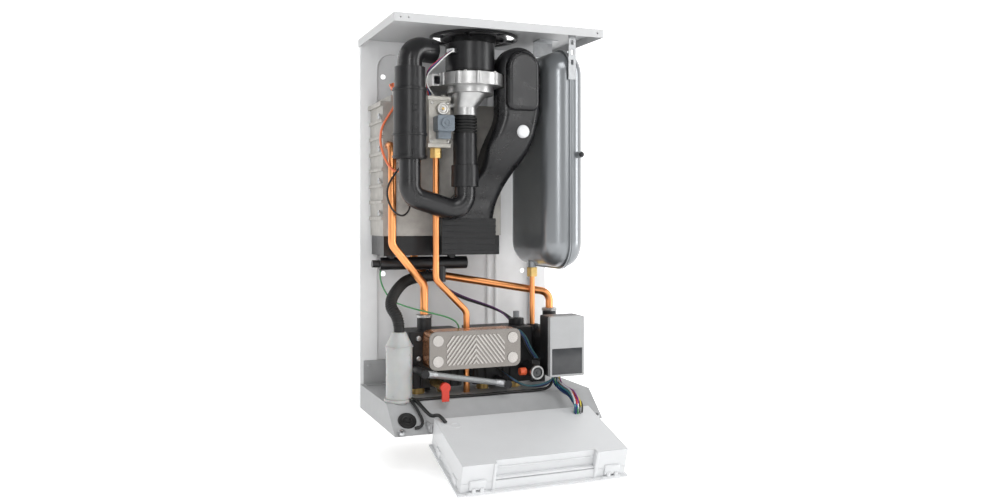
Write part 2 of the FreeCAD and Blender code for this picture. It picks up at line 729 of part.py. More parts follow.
def base_tray():
    half = CASE_WIDTH / 2 - TRAY_SIDE_GAP
    back = tray_back_y()
    fold = -CASE_DEPTH + APRON_RUN
    outline = [(back, 0), (back, DECK_Z), (fold, DECK_Z), (-CASE_DEPTH, 0), (back, 0)]
    face = Part.Face(Part.makePolygon([Vector(-half, y, z) for y, z in outline]))
    block = face.extrude(Vector(half + half, 0, 0))
    slope = math.atan2(DECK_Z, APRON_RUN)
    shift = SHEET / math.sin(slope)
    inner = [(back + OVERRUN, -OVERRUN), (back + OVERRUN, DECK_Z - SHEET),
             (fold + SHEET * math.tan(slope / 2), DECK_Z - SHEET),
             (-CASE_DEPTH + shift - OVERRUN / math.tan(slope), -OVERRUN), (back + OVERRUN, -OVERRUN)]
    hollow_face = Part.Face(Part.makePolygon([Vector(-half + SHEET, y, z) for y, z in inner]))
    tray = block.cut(hollow_face.extrude(Vector(half + half - SHEET - SHEET, 0, 0)))
    tray = tray.cut(box(-half + SHEET, half - SHEET, back - OVERRUN, OVERRUN, -OVERRUN, DECK_Z - SHEET))
    ears = []
    for inner_x, way in hinge_sides():
        start = inner_x + way * HINGE_EAR_GAP
        ear = box(start, start + way * HINGE_EAR_THICK, HINGE_Y - HINGE_EAR_HALF, HINGE_Y + HINGE_EAR_BACK,
                  HINGE_Z - HINGE_EAR_HALF, HINGE_Z + HINGE_EAR_HALF)
        ears.append(ear)
    tray = fuse_all([tray] + ears)
    holes = [post(TRAP_X, TRAP_Y, -OVERRUN, DECK_Z + OVERRUN, TRAP_RADIUS + HOLE_GAP)]
    holes.append(post(GAS_TAIL_X, GAS_PIPE_Y, -OVERRUN, DECK_Z + OVERRUN, GAS_PIPE_RADIUS + HOLE_GAP))
    for _, x, y, radius in tail_places():
        holes.append(post(x, y, -OVERRUN, DECK_Z + OVERRUN, radius + TAIL_COLLAR + HOLE_GAP))
    for inner_x, way in hinge_sides():
        ear_end = inner_x + way * (HINGE_EAR_GAP + HINGE_EAR_THICK + OVERRUN)
        holes.append(bar_x(HINGE_Y, HINGE_Z, inner_x, ear_end, HINGE_PIN_RADIUS + RUNNING_CLEARANCE))
    return cut_all(tray, holes)


def hinge_sides():
    """The outer face of the control box's lug at each end, and the way out from it."""
    return ((BOX_LEFT_X, -1), (BOX_RIGHT_X, 1))


def tray_brackets():
    half = CASE_WIDTH / 2 - TRAY_SIDE_GAP
    back = tray_back_y()
    shapes = []
    for side in (-1, 1):
        outer = side * (half - BRACKET_INSET)
        inner = outer - side * BRACKET_WIDTH
        plate = box(outer, inner, back - SHEET, back, DECK_Z, DECK_Z + BRACKET_HEIGHT)
        foot = box(outer, inner, back - BRACKET_WIDTH / 2, back, DECK_Z, DECK_Z + SHEET)
        screw_x = outer - side * BRACKET_WIDTH / 4
        screw_z = DECK_Z + BRACKET_HEIGHT - BRACKET_WIDTH / 4
        screw = bar_y(screw_x, screw_z, back - SHEET - BRACKET_SCREW_HEAD, back - SHEET,
                      BRACKET_SCREW_RADIUS)
        shapes.append(fuse_all([plate, foot, screw]))
    return Part.makeCompound(shapes)


def flue_adapter():
    head = CASE_HEIGHT - SHEET
    top = CASE_HEIGHT + AIR_COLLAR_RISE
    ring_foot = head - FLUE_RING_THICK
    collar_inner = AIR_COLLAR_RADIUS - AIR_COLLAR_WALL
    socket_outer = FLUE_SOCKET_RADIUS + FLUE_SOCKET_WALL
    ring = tube(FLUE_X, FLUE_Y, ring_foot, head, FLUE_RING_RADIUS, FLUE_RING_RADIUS - FLUE_OPENING_RADIUS)
    collar = tube(FLUE_X, FLUE_Y, ring_foot, top, AIR_COLLAR_RADIUS, AIR_COLLAR_WALL)
    socket = tube(FLUE_X, FLUE_Y, top - FLUE_SOCKET_DEPTH, top, socket_outer, FLUE_SOCKET_WALL)
    shoulder = tube(FLUE_X, FLUE_Y, ring_foot, head, AIR_COLLAR_RADIUS + AIR_COLLAR_SHOULDER,
                    AIR_COLLAR_WALL + AIR_COLLAR_SHOULDER)
    pieces = [ring, collar, shoulder, socket]
    for step in range(FLUE_TAB_COUNT):
        tab = box(AIR_COLLAR_RADIUS - AIR_COLLAR_WALL / 2, FLUE_OPENING_RADIUS + SHEET, -FLUE_TAB_WIDTH / 2,
                  FLUE_TAB_WIDTH / 2, ring_foot, head)
        pieces.append(spun(tab, 360 * step / FLUE_TAB_COUNT))
    for step in range(FLUE_RIB_COUNT):
        rib = box(socket_outer - FLUE_SOCKET_WALL / 2, collar_inner + AIR_COLLAR_WALL / 2,
                  -FLUE_RIB_WIDTH / 2,
                  FLUE_RIB_WIDTH / 2, ring_foot, head)
        pieces.append(spun(rib, 360 * step / FLUE_RIB_COUNT))
    return fuse_all(pieces)


def spun(shape, degrees):
    """Turn a shape drawn about the upright axis through zero, then set it on the flue's axis."""
    turned = shape.copy()
    turned.rotate(Vector(0, 0, 0), Z_AXIS, degrees)
    turned.translate(Vector(FLUE_X, FLUE_Y, 0))
    return turned


def duct_sections():
    """Each section's height, left, right, front and back, from the collector up to the straight part."""
    rise = DUCT_STRAIGHT_Z - COLLECTOR_HEAD_Z
    back = EXCHANGER_FRONT_Y - DUCT_WALL
    sections = [(COLLECTOR_HEAD_Z, COLLECTOR_LEFT_X, COLLECTOR_RIGHT_X, COLLECTOR_FRONT_Y, back)]
    sides = zip(DUCT_SECTION_SHARES, DUCT_SECTION_LEFT_X, DUCT_SECTION_RIGHT_X, DUCT_SECTION_FRONT_Y,
                DUCT_SECTION_BACK_Y)
    for share, left, right, front, rear in sides:
        sections.append((COLLECTOR_HEAD_Z + rise * share, left, right, front, rear))
    sections.append((DUCT_STRAIGHT_Z, DUCT_LEFT_X, DUCT_RIGHT_X, DUCT_FACE_Y, DUCT_BACK_Y))
    return sections


def duct_loft(inset):
    """The duct's bent body between the collector and its straight upper part, shrunk by inset."""
    wires = [rounded_wire(section, inset) for section in duct_sections()]
    return [Part.makeLoft(wires, True, False)]


def rounded_wire(section, inset):
    z, x0, x1, y0, y1 = section
    plate = box(x0 + inset, x1 - inset, y0 + inset, y1 - inset, z, z + DUCT_WALL)
    upright = [edge for edge in plate.Edges if abs(edge.BoundBox.ZLength - DUCT_WALL) < CLEARANCE]
    rounded = plate.makeFillet(DUCT_CORNER - inset, upright)
    floor = min(rounded.Faces, key=lambda face: face.CenterOfMass.z)
    return floor.OuterWire


def arch(x0, x1, z0, spring_z, y_front, y_back, corner):
    """An upright slab with a half-round head, its lower corners rounded where corner isn't zero."""
    middle = (x0 + x1) / 2
    crown = Vector(middle, y_front, spring_z + (x1 - x0) / 2)
    left, right = Vector(x0, y_front, spring_z), Vector(x1, y_front, spring_z)
    edges = [Part.Arc(left, crown, right).toShape()]
    low_right, low_left = Vector(x1, y_front, z0), Vector(x0, y_front, z0)
    for start, end in ((right, low_right), (low_right, low_left), (low_left, left)):
        edges.append(Part.LineSegment(start, end).toShape())
    slab = Part.Face(Part.Wire(edges)).extrude(Vector(0, y_back - y_front, 0))
    if corner:
        depth = y_back - y_front
        feet = [edge for edge in slab.Edges
                if abs(edge.BoundBox.YLength - depth) < CLEARANCE and edge.CenterOfMass.z < z0 + CLEARANCE]
        slab = slab.makeFillet(corner, feet)
    return slab


def rim_edges(slab, y, z0):
    """The edges of a slab's face at y, but for its straight foot at z0."""
    return [edge for edge in slab.Edges
            if edge.BoundBox.YLength < CLEARANCE and abs(edge.CenterOfMass.y - y) < CLEARANCE
            and (edge.BoundBox.ZLength > CLEARANCE or edge.CenterOfMass.z > z0 + CLEARANCE)]


def duct_upper(inset):
    """The straight upper part with its round head, shrunk by inset."""
    front, back = DUCT_FACE_Y + inset, DUCT_BACK_Y - inset
    slab = arch(DUCT_LEFT_X + inset, DUCT_RIGHT_X - inset, DUCT_STRAIGHT_Z, DUCT_DOME_Z, front, back, 0)
    rims = rim_edges(slab, front, DUCT_STRAIGHT_Z) + rim_edges(slab, back, DUCT_STRAIGHT_Z)
    return [slab.makeFillet(DUCT_CORNER - inset, rims)]


def duct_pad():
    """The pad that stands out of the upper part's face."""
    front = DUCT_FACE_Y - DUCT_PAD_PROUD
    slab = arch(DUCT_LEFT_X + DUCT_PAD_INSET, DUCT_RIGHT_X - DUCT_PAD_INSET, DUCT_STRAIGHT_Z,
                DUCT_DOME_Z, front,
                DUCT_FACE_Y + DUCT_WALL / 2, DUCT_PAD_CORNER)
    edges = [edge for edge in slab.Edges
             if edge.BoundBox.YLength < CLEARANCE and abs(edge.CenterOfMass.y - front) < CLEARANCE]
    return slab.makeFillet(DUCT_PAD_EDGE, edges)


def duct_branch(inset):
    """The way from the upper part's back to the riser under the flue socket, shrunk by inset."""
    start = Vector((DUCT_LEFT_X + DUCT_RIGHT_X) / 2, DUCT_BACK_Y - DUCT_CORNER, DUCT_DOME_Z)
    end = Vector(FLUE_X, FLUE_Y, DUCT_DOME_Z)
    branch = Part.makeCylinder(DUCT_BRANCH_RADIUS - inset, (end - start).Length, start, end - start)
    head = CASE_HEIGHT + AIR_COLLAR_RISE - FLUE_SOCKET_DEPTH
    riser = post(FLUE_X, FLUE_Y, DUCT_RISER_FOOT_Z + inset, head, DUCT_RISER_RADIUS - inset)
    return [branch, riser]


def flue_duct():
    outer = fuse_all(duct_loft(0) + duct_upper(0) + duct_branch(0) + [duct_pad()])
    inner = fuse_all(duct_loft(DUCT_WALL) + duct_upper(DUCT_WALL) + duct_branch(DUCT_WALL))
    mouth = post(FLUE_X, FLUE_Y, DUCT_DOME_Z, CASE_HEIGHT + OVERRUN, DUCT_RISER_RADIUS - DUCT_WALL)
    foot = rounded_wire((COLLECTOR_HEAD_Z - OVERRUN, COLLECTOR_LEFT_X, COLLECTOR_RIGHT_X, COLLECTOR_FRONT_Y,
                         EXCHANGER_FRONT_Y - DUCT_WALL), DUCT_WALL)
    opening = Part.Face(foot).extrude(Vector(0, 0, OVERRUN + OVERRUN))
    fan_room = post(FAN_X, FAN_Y, FAN_FOOT_Z - HOLE_GAP, FAN_HEAD_Z + HOLE_GAP, FAN_RADIUS + HOLE_GAP)
    fan_wall = post(FAN_X, FAN_Y, FAN_FOOT_Z - HOLE_GAP - DUCT_WALL, FAN_HEAD_Z + HOLE_GAP + DUCT_WALL,
                    FAN_RADIUS + HOLE_GAP + DUCT_WALL)
    inner = inner.cut(fan_wall)
    return outer.cut(inner).cut(mouth).cut(opening).cut(fan_room)


def flue_collector():
    outer = box(COLLECTOR_LEFT_X, COLLECTOR_RIGHT_X, COLLECTOR_FRONT_Y, EXCHANGER_FRONT_Y - CLEARANCE,
                COLLECTOR_FOOT_Z, COLLECTOR_HEAD_Z)
    inner = box(COLLECTOR_LEFT_X + DUCT_WALL, COLLECTOR_RIGHT_X - DUCT_WALL, COLLECTOR_FRONT_Y + DUCT_WALL,
                EXCHANGER_FRONT_Y - CLEARANCE - DUCT_WALL, COLLECTOR_FOOT_Z + DUCT_WALL,
                COLLECTOR_HEAD_Z + OVERRUN)
    shell = outer.cut(inner)
    pitch = (COLLECTOR_HEAD_Z - COLLECTOR_FOOT_Z) / COLLECTOR_RIB_COUNT
    ribs = []
    for step in range(COLLECTOR_RIB_COUNT):
        z = COLLECTOR_FOOT_Z + pitch * step + pitch / 2
        ribs.append(box(COLLECTOR_LEFT_X, COLLECTOR_RIGHT_X, COLLECTOR_FRONT_Y - COLLECTOR_RIB_PROUD,
                        COLLECTOR_FRONT_Y, z, z + COLLECTOR_RIB_HEIGHT))
    window = box(COLLECTOR_LEFT_X + DUCT_CORNER, COLLECTOR_RIGHT_X - DUCT_CORNER, COLLECTOR_FRONT_Y / 2,
                 EXCHANGER_FRONT_Y - DUCT_WALL - OVERRUN, EXCHANGER_FOOT_Z + EXCHANGER_WALL,
                 COLLECTOR_HEAD_Z - DUCT_WALL)
    return fuse_all([shell] + ribs).cut(window)


def heat_exchanger():
    body = box(EXCHANGER_LEFT_X, EXCHANGER_RIGHT_X, EXCHANGER_FRONT_Y, EXCHANGER_BACK_Y, EXCHANGER_FOOT_Z,
               EXCHANGER_HEAD_Z)
    pieces = [body]
    pitch = (EXCHANGER_HEAD_Z - EXCHANGER_FOOT_Z - EXCHANGER_FLANGE_THICK) / (EXCHANGER_FIN_COUNT + 1)
    for step in range(EXCHANGER_FIN_COUNT):
        z = EXCHANGER_FOOT_Z + pitch * (step + 1)
        pieces.append(box(EXCHANGER_LEFT_X - EXCHANGER_FIN_PROUD, EXCHANGER_LEFT_X, EXCHANGER_FRONT_Y,
                          EXCHANGER_BACK_Y, z, z + EXCHANGER_FIN_HEIGHT))
    pieces.append(box(EXCHANGER_LEFT_X - EXCHANGER_FLANGE, EXCHANGER_RIGHT_X + EXCHANGER_FLANGE,
                      EXCHANGER_FRONT_Y, EXCHANGER_BACK_Y, EXCHANGER_HEAD_Z - EXCHANGER_FLANGE_THICK,
                      EXCHANGER_HEAD_Z))
    right_pad = EXCHANGER_RIGHT_X - EXCHANGER_FOOT_INSET - EXCHANGER_FOOT_PAD
    for x in (EXCHANGER_LEFT_X + EXCHANGER_FOOT_INSET, right_pad):
        for z in (EXCHANGER_FOOT_Z, EXCHANGER_HEAD_Z - EXCHANGER_FOOT_PAD):
            pieces.append(box(x, x + EXCHANGER_FOOT_PAD, EXCHANGER_BACK_Y, -SHEET, z,
                              z + EXCHANGER_FOOT_PAD))
    whole = fuse_all(pieces)
    chamber = box(EXCHANGER_LEFT_X + EXCHANGER_WALL, EXCHANGER_RIGHT_X - EXCHANGER_WALL,
                  EXCHANGER_FRONT_Y + EXCHANGER_WALL, EXCHANGER_BACK_Y - EXCHANGER_WALL,
                  EXCHANGER_FOOT_Z - OVERRUN, EXCHANGER_HEAD_Z - EXCHANGER_WALL)
    middle_y = (EXCHANGER_FRONT_Y + EXCHANGER_BACK_Y) / 2
    mouth = post(BURNER_X, middle_y, EXCHANGER_HEAD_Z - EXCHANGER_WALL - OVERRUN,
                 EXCHANGER_HEAD_Z + OVERRUN,
                 BURNER_RADIUS + HOLE_GAP)
    spark = post(ELECTRODE_X, ELECTRODE_Y, EXCHANGER_HEAD_Z - EXCHANGER_WALL - OVERRUN,
                 EXCHANGER_HEAD_Z + OVERRUN, ELECTRODE_RADIUS + CLEARANCE)
    window = box(COLLECTOR_LEFT_X + DUCT_CORNER, COLLECTOR_RIGHT_X - DUCT_CORNER,
                 EXCHANGER_FRONT_Y - OVERRUN,
                 EXCHANGER_FRONT_Y + EXCHANGER_WALL + OVERRUN, EXCHANGER_FOOT_Z + EXCHANGER_WALL,
                 COLLECTOR_HEAD_Z - DUCT_WALL)
    return cut_all(whole, [chamber, mouth, spark, window])


def burner_door():
    middle_y = (EXCHANGER_FRONT_Y + EXCHANGER_BACK_Y) / 2
    plate = box(DOOR_LEFT_X, DOOR_RIGHT_X, EXCHANGER_FRONT_Y, EXCHANGER_BACK_Y, EXCHANGER_HEAD_Z,
                EXCHANGER_HEAD_Z + DOOR_THICK)
    mouth = post(BURNER_X, middle_y, EXCHANGER_HEAD_Z - OVERRUN, EXCHANGER_HEAD_Z + DOOR_THICK + OVERRUN,
                 BURNER_NECK_RADIUS)
    spark = post(ELECTRODE_X, ELECTRODE_Y, EXCHANGER_HEAD_Z - OVERRUN,
                 EXCHANGER_HEAD_Z + DOOR_THICK + OVERRUN, ELECTRODE_RADIUS + CLEARANCE)
    return cut_all(plate, [mouth, spark])


def burner():
    middle_y = (EXCHANGER_FRONT_Y + EXCHANGER_BACK_Y) / 2
    head = EXCHANGER_HEAD_Z
    can = post(BURNER_X, middle_y, head - BURNER_LENGTH, head, BURNER_RADIUS)
    inside = post(BURNER_X, middle_y, head - BURNER_LENGTH + BURNER_WALL, head + OVERRUN,
                  BURNER_RADIUS - BURNER_WALL)
    return can.cut(inside)


def electrode():
    seat = EXCHANGER_HEAD_Z + DOOR_THICK
    stem = post(ELECTRODE_X, ELECTRODE_Y, EXCHANGER_HEAD_Z - ELECTRODE_DEPTH, seat + ELECTRODE_RISE,
                ELECTRODE_RADIUS)
    collar = post(ELECTRODE_X, ELECTRODE_Y, seat, seat + SHEET, ELECTRODE_BOOT_RADIUS)
    return fuse_all([stem, collar])


def electrode_boot():
    seat = EXCHANGER_HEAD_Z + DOOR_THICK + ELECTRODE_RISE
    boot = post(ELECTRODE_X, ELECTRODE_Y, seat - ELECTRODE_BOOT_HEIGHT / 2,
                seat + ELECTRODE_BOOT_HEIGHT / 2,
                ELECTRODE_BOOT_RADIUS)
    return boot.cut(post(ELECTRODE_X, ELECTRODE_Y, seat - ELECTRODE_BOOT_HEIGHT, seat,
                         ELECTRODE_RADIUS + RUNNING_CLEARANCE))


def condensate_tray():
    outer = box(EXCHANGER_LEFT_X + TRAY_BAND_INSET, EXCHANGER_RIGHT_X - TRAY_BAND_INSET,
                EXCHANGER_FRONT_Y + TRAY_BAND_INSET, EXCHANGER_BACK_Y - TRAY_BAND_INSET,
                EXCHANGER_FOOT_Z - TRAY_BAND_HEIGHT, EXCHANGER_FOOT_Z)
    inner = box(EXCHANGER_LEFT_X + EXCHANGER_WALL, EXCHANGER_RIGHT_X - EXCHANGER_WALL,
                EXCHANGER_FRONT_Y + EXCHANGER_WALL, EXCHANGER_BACK_Y - EXCHANGER_WALL,
                EXCHANGER_FOOT_Z - TRAY_BAND_HEIGHT + DUCT_WALL, EXCHANGER_FOOT_Z + OVERRUN)
    return outer.cut(inner)


def manifold_z():
    return EXCHANGER_FOOT_Z - TRAY_BAND_HEIGHT - MANIFOLD_DROP


def drain_port_z():
    return manifold_z() - DRAIN_PORT_DROP


def drain_manifold():
    z = manifold_z()
    seat = EXCHANGER_FOOT_Z - TRAY_BAND_HEIGHT
    pieces = [bar_x(MANIFOLD_Y, z, MANIFOLD_LEFT_X, MANIFOLD_RIGHT_X, MANIFOLD_RADIUS)]
    for place in MANIFOLD_STUB_PLACES:
        pieces.append(post(place, MANIFOLD_Y, z, seat, MANIFOLD_STUB_RADIUS))
    port_z = drain_port_z()
    pieces.append(post(DRAIN_X, MANIFOLD_Y, port_z - DRAIN_PORT_RADIUS, z, DRAIN_PORT_RADIUS))
    pieces.append(bar_x(MANIFOLD_Y, port_z, DRAIN_X - DRAIN_PORT_LENGTH, DRAIN_X, DRAIN_HOSE_RADIUS))
    pieces.append(bar_x(MANIFOLD_Y, z, MANIFOLD_LEFT_X - SENSOR_LENGTH, MANIFOLD_LEFT_X, SENSOR_RADIUS))
    return fuse_all(pieces)


def fan_housing():
    drum = post(FAN_X, FAN_Y, FAN_FOOT_Z, FAN_HEAD_Z, FAN_RADIUS)
    seat = EXCHANGER_HEAD_Z + DOOR_THICK
    outlet = box(FAN_OUTLET_LEFT_X, FAN_OUTLET_RIGHT_X, FAN_Y, FAN_OUTLET_BACK_Y, FAN_FOOT_Z, FAN_HEAD_Z)
    shoe = box(FAN_OUTLET_LEFT_X, FAN_OUTLET_RIGHT_X, EXCHANGER_FRONT_Y + SHEET, FAN_OUTLET_BACK_Y, seat,
               FAN_FOOT_Z)
    pieces = [drum, outlet, shoe]
    for step in range(FAN_LUG_COUNT):
        turn = math.radians(160 + 140 * step / (FAN_LUG_COUNT - 1))
        x = FAN_X + (FAN_RADIUS - FAN_WALL) * math.cos(turn)
        y = FAN_Y + (FAN_RADIUS - FAN_WALL) * math.sin(turn)
        pieces.append(post(x, y, FAN_FOOT_Z, FAN_HEAD_Z, FAN_LUG_RADIUS))
    whole = fuse_all(pieces)
    room = post(FAN_X, FAN_Y, FAN_FOOT_Z + FAN_WALL, FAN_HEAD_Z - FAN_WALL, FAN_RADIUS - FAN_WALL)
    way = box(FAN_OUTLET_LEFT_X + FAN_WALL, FAN_OUTLET_RIGHT_X - FAN_WALL, FAN_Y,
              FAN_OUTLET_BACK_Y - FAN_WALL,
              FAN_FOOT_Z + FAN_WALL, FAN_HEAD_Z - FAN_WALL)
    drop = post(BURNER_X, (EXCHANGER_FRONT_Y + EXCHANGER_BACK_Y) / 2, seat - OVERRUN,
                FAN_FOOT_Z + FAN_WALL + SHEET,
                BURNER_NECK_RADIUS)
    inlet = post(FAN_X, FAN_Y, FAN_FOOT_Z - OVERRUN, FAN_FOOT_Z + FAN_WALL + SHEET, VENTURI_RADIUS)
    bearing = post(FAN_X, FAN_Y, FAN_HEAD_Z - FAN_WALL - SHEET, FAN_HEAD_Z + OVERRUN,
                   FAN_SHAFT_RADIUS + RUNNING_CLEARANCE)
    return cut_all(whole, [room, way, drop, inlet, bearing])


def fan_impeller():
    foot = FAN_FOOT_Z + FAN_WALL + FAN_GAP
    head = FAN_HEAD_Z - FAN_WALL - FAN_GAP
    reach = FAN_RADIUS - FAN_WALL - FAN_GAP - FAN_GAP
    disc = post(FAN_X, FAN_Y, head - FAN_BLADE_THICK, head, reach)
    hub = post(FAN_X, FAN_Y, foot + FAN_GAP, head, FAN_HUB_RADIUS)
    shaft = post(FAN_X, FAN_Y, foot + FAN_GAP, MOTOR_STEP_Z, FAN_SHAFT_RADIUS)
    pieces = [disc, hub, shaft]
    for step in range(FAN_BLADE_COUNT):
        blade = box(FAN_X + FAN_HUB_RADIUS - FAN_BLADE_THICK, FAN_X + reach, FAN_Y - FAN_BLADE_THICK / 2,
                    FAN_Y + FAN_BLADE_THICK / 2, foot, head)
        blade.rotate(Vector(FAN_X, FAN_Y, 0), Z_AXIS, 360 * step / FAN_BLADE_COUNT)
        pieces.append(blade)
    return fuse_all(pieces)


def fan_motor_cover():
    """The motor's drum on a narrower foot, with the socket for its plug turned to the left."""
    foot = post(FAN_X, FAN_Y, FAN_HEAD_Z, MOTOR_STEP_Z, MOTOR_STEP_RADIUS)
    drum = post(FAN_X, FAN_Y, MOTOR_STEP_Z, MOTOR_HEAD_Z, MOTOR_RADIUS)
    socket_front = FAN_Y - MOTOR_RADIUS - FAN_PLUG_DEPTH
    half = FAN_PLUG_WIDTH / 2
    socket = box(FAN_X - half, FAN_X + half, socket_front, FAN_Y, FAN_PLUG_Z, FAN_PLUG_Z + FAN_PLUG_HEIGHT)
    socket.rotate(Vector(FAN_X, FAN_Y, FAN_PLUG_Z), Z_AXIS, FAN_PLUG_TURN)
    whole = fuse_all([foot, drum, socket])
    room = post(FAN_X, FAN_Y, FAN_HEAD_Z - OVERRUN, MOTOR_STEP_Z + MOTOR_WALL,
                MOTOR_STEP_RADIUS - MOTOR_WALL)
    upper = post(FAN_X, FAN_Y, MOTOR_STEP_Z + MOTOR_WALL, MOTOR_HEAD_Z - MOTOR_WALL,
                 MOTOR_RADIUS - MOTOR_WALL)
    return cut_all(whole, [room, upper])


def fan_venturi():
    """The flange under the fan, the cone that leans over to the mixer's axis, and the gas branch."""
    neck_z = VENTURI_FLANGE_FOOT_Z - VENTURI_CONE_HEIGHT
    flange = post(FAN_X, FAN_Y, VENTURI_FLANGE_FOOT_Z, FAN_FOOT_Z, VENTURI_FLANGE_RADIUS)
    cone = leaning_cone(neck_z, VENTURI_FLANGE_FOOT_Z, VENTURI_RADIUS, VENTURI_CONE_RADIUS)
    body = post(MIXER_X, FAN_Y, VENTURI_FOOT_Z, neck_z, VENTURI_RADIUS)
    z = VALVE_HEAD_Z - VALVE_FLANGE_THICK - VENTURI_BRANCH_RADIUS
    branch = bar_x(VALVE_FRONT_Y + VENTURI_BRANCH_RADIUS + SHEET, z, VALVE_RIGHT_X, MIXER_X,
                   VENTURI_BRANCH_RADIUS)
    whole = fuse_all([flange, cone, body, branch])
    lower_bore = post(MIXER_X, FAN_Y, VENTURI_FOOT_Z - OVERRUN, neck_z, VENTURI_BORE_RADIUS)
    lean_bore = leaning_cone(neck_z, VENTURI_FLANGE_FOOT_Z, VENTURI_BORE_RADIUS, VENTURI_RADIUS)
    upper_bore = post(FAN_X, FAN_Y, VENTURI_FLANGE_FOOT_Z, FAN_FOOT_Z + OVERRUN, VENTURI_RADIUS)
    return cut_all(whole, [lower_bore, lean_bore, upper_bore])


def leaning_cone(z0, z1, foot_radius, head_radius):
    """A cone from the mixer's axis at its foot to the fan's axis at its head."""
    foot = Part.Wire(Part.makeCircle(foot_radius, Vector(MIXER_X, FAN_Y, z0), Z_AXIS))
    head = Part.Wire(Part.makeCircle(head_radius, Vector(FAN_X, FAN_Y, z1), Z_AXIS))
    return Part.makeLoft([foot, head], True, True)


def rubber_sleeve():
    path = Part.Wire(Part.makeLine(Vector(MIXER_X, FAN_Y, SLEEVE_FOOT_Z),
                                   Vector(MIXER_X, FAN_Y, VENTURI_FOOT_Z)))
    rings = ribbed_tube(path, SLEEVE_RADIUS, SLEEVE_RIB, SLEEVE_RIB_COUNT, SLEEVE_RIB)
    return rings.cut(post(MIXER_X, FAN_Y, SLEEVE_FOOT_Z - OVERRUN, VENTURI_FOOT_Z + OVERRUN,
                          VENTURI_BORE_RADIUS))


def mixer_tube():
    upper = post(MIXER_X, FAN_Y, MIXER_COLLAR_Z, SLEEVE_FOOT_Z, MIXER_RADIUS)
    lower = post(MIXER_X, FAN_Y, MIXER_FOOT_Z, MIXER_COLLAR_Z, MIXER_COLLAR_RADIUS)
    bore = post(MIXER_X, FAN_Y, MIXER_FOOT_Z - OVERRUN, SLEEVE_FOOT_Z + OVERRUN, MIXER_RADIUS - MIXER_WALL)
    return fuse_all([upper, lower]).cut(bore)


def air_hose():
    points = [
        Vector(SILENCER_X, SILENCER_Y, SILENCER_FOOT_Z),
        Vector(SILENCER_X, SILENCER_Y, AIR_HOSE_LEFT_Z),
        Vector(MIXER_X, FAN_Y, AIR_HOSE_RIGHT_Z),
        Vector(MIXER_X, FAN_Y, MIXER_FOOT_Z),
    ]
    return swept_tube(points, AIR_HOSE_RADIUS, AIR_HOSE_WALL, AIR_HOSE_BEND)


def air_silencer():
    foot, head = SILENCER_FOOT_Z, SILENCER_HEAD_Z
    pieces = [post(SILENCER_X, SILENCER_Y, foot, head, SILENCER_RADIUS)]
    for share in SILENCER_BAND_SHARES:
        z = foot + (head - foot) * share - SILENCER_BAND_HEIGHT / 2
        pieces.append(post(SILENCER_X, SILENCER_Y, z, z + SILENCER_BAND_HEIGHT,
                           SILENCER_RADIUS + SILENCER_BAND))
    pieces.append(post(SILENCER_X, SILENCER_Y, head, SILENCER_COLLAR_HEAD_Z, SILENCER_COLLAR_RADIUS))
    inside = post(SILENCER_X, SILENCER_Y, foot + SILENCER_WALL, head - SILENCER_WALL,
                  SILENCER_RADIUS - SILENCER_WALL)
    bore = post(SILENCER_X, SILENCER_Y, foot - OVERRUN, SILENCER_COLLAR_HEAD_Z + OVERRUN,
                AIR_HOSE_RADIUS - AIR_HOSE_WALL)
    return cut_all(fuse_all(pieces), [inside, bore])


def intake_elbow():
    points = [
        Vector(SILENCER_X, SILENCER_Y, SILENCER_COLLAR_HEAD_Z),
        Vector(SILENCER_X, SILENCER_Y, INTAKE_TURN_Z),
        Vector(INTAKE_MOUTH_X, INTAKE_MOUTH_Y, INTAKE_TURN_Z),
    ]
    return swept_tube(points, INTAKE_RADIUS, SILENCER_WALL, INTAKE_BEND)


def gas_valve_body():
    body = box(VALVE_LEFT_X, VALVE_RIGHT_X, VALVE_FRONT_Y, VALVE_BACK_Y, VALVE_FOOT_Z, VALVE_HEAD_Z)
    pieces = [body]
    for z in (VALVE_FOOT_Z, VALVE_HEAD_Z - VALVE_FLANGE_THICK):
        pieces.append(box(VALVE_LEFT_X - VALVE_FLANGE, VALVE_RIGHT_X, VALVE_FRONT_Y - VALVE_FLANGE,
                          VALVE_BACK_Y + VALVE_FLANGE, z, z + VALVE_FLANGE_THICK))
    for x in (VALVE_LEFT_X + VALVE_SCREW_INSET, VALVE_RIGHT_X - VALVE_SCREW_INSET):
        pieces.append(post(x, VALVE_FRONT_Y + VALVE_SCREW_INSET, VALVE_HEAD_Z,
                           VALVE_HEAD_Z + VALVE_SCREW_HEAD,
                           VALVE_SCREW_RADIUS))
    cap_x = (COIL_LEFT_X + COIL_RIGHT_X) / 2
    pieces.append(bar_y(cap_x, VALVE_FOOT_Z + VALVE_CAP_RISE, VALVE_FRONT_Y - VALVE_CAP_THICK,
                        VALVE_FRONT_Y,
                        VALVE_CAP_RADIUS))
    return fuse_all(pieces)


def gas_valve_coil():
    """The coil's case with the two plug sockets under it."""
    pieces = [upright_plate(COIL_LEFT_X, COIL_RIGHT_X, COIL_FOOT_Z, COIL_FOOT_Z + COIL_HEIGHT, COIL_CORNER,
                            VALVE_FRONT_Y - COIL_DEPTH, COIL_DEPTH)]
    for x in (COIL_LEFT_X + COIL_CORNER, COIL_RIGHT_X - COIL_CORNER - VALVE_PLUG_WIDTH):
        pieces.append(box(x, x + VALVE_PLUG_WIDTH, VALVE_FRONT_Y - VALVE_FLANGE - VALVE_PLUG_DEPTH,
                          VALVE_FRONT_Y - VALVE_FLANGE, COIL_FOOT_Z - VALVE_PLUG_HEIGHT,
                          COIL_FOOT_Z + COIL_CORNER))
    return fuse_all(pieces)


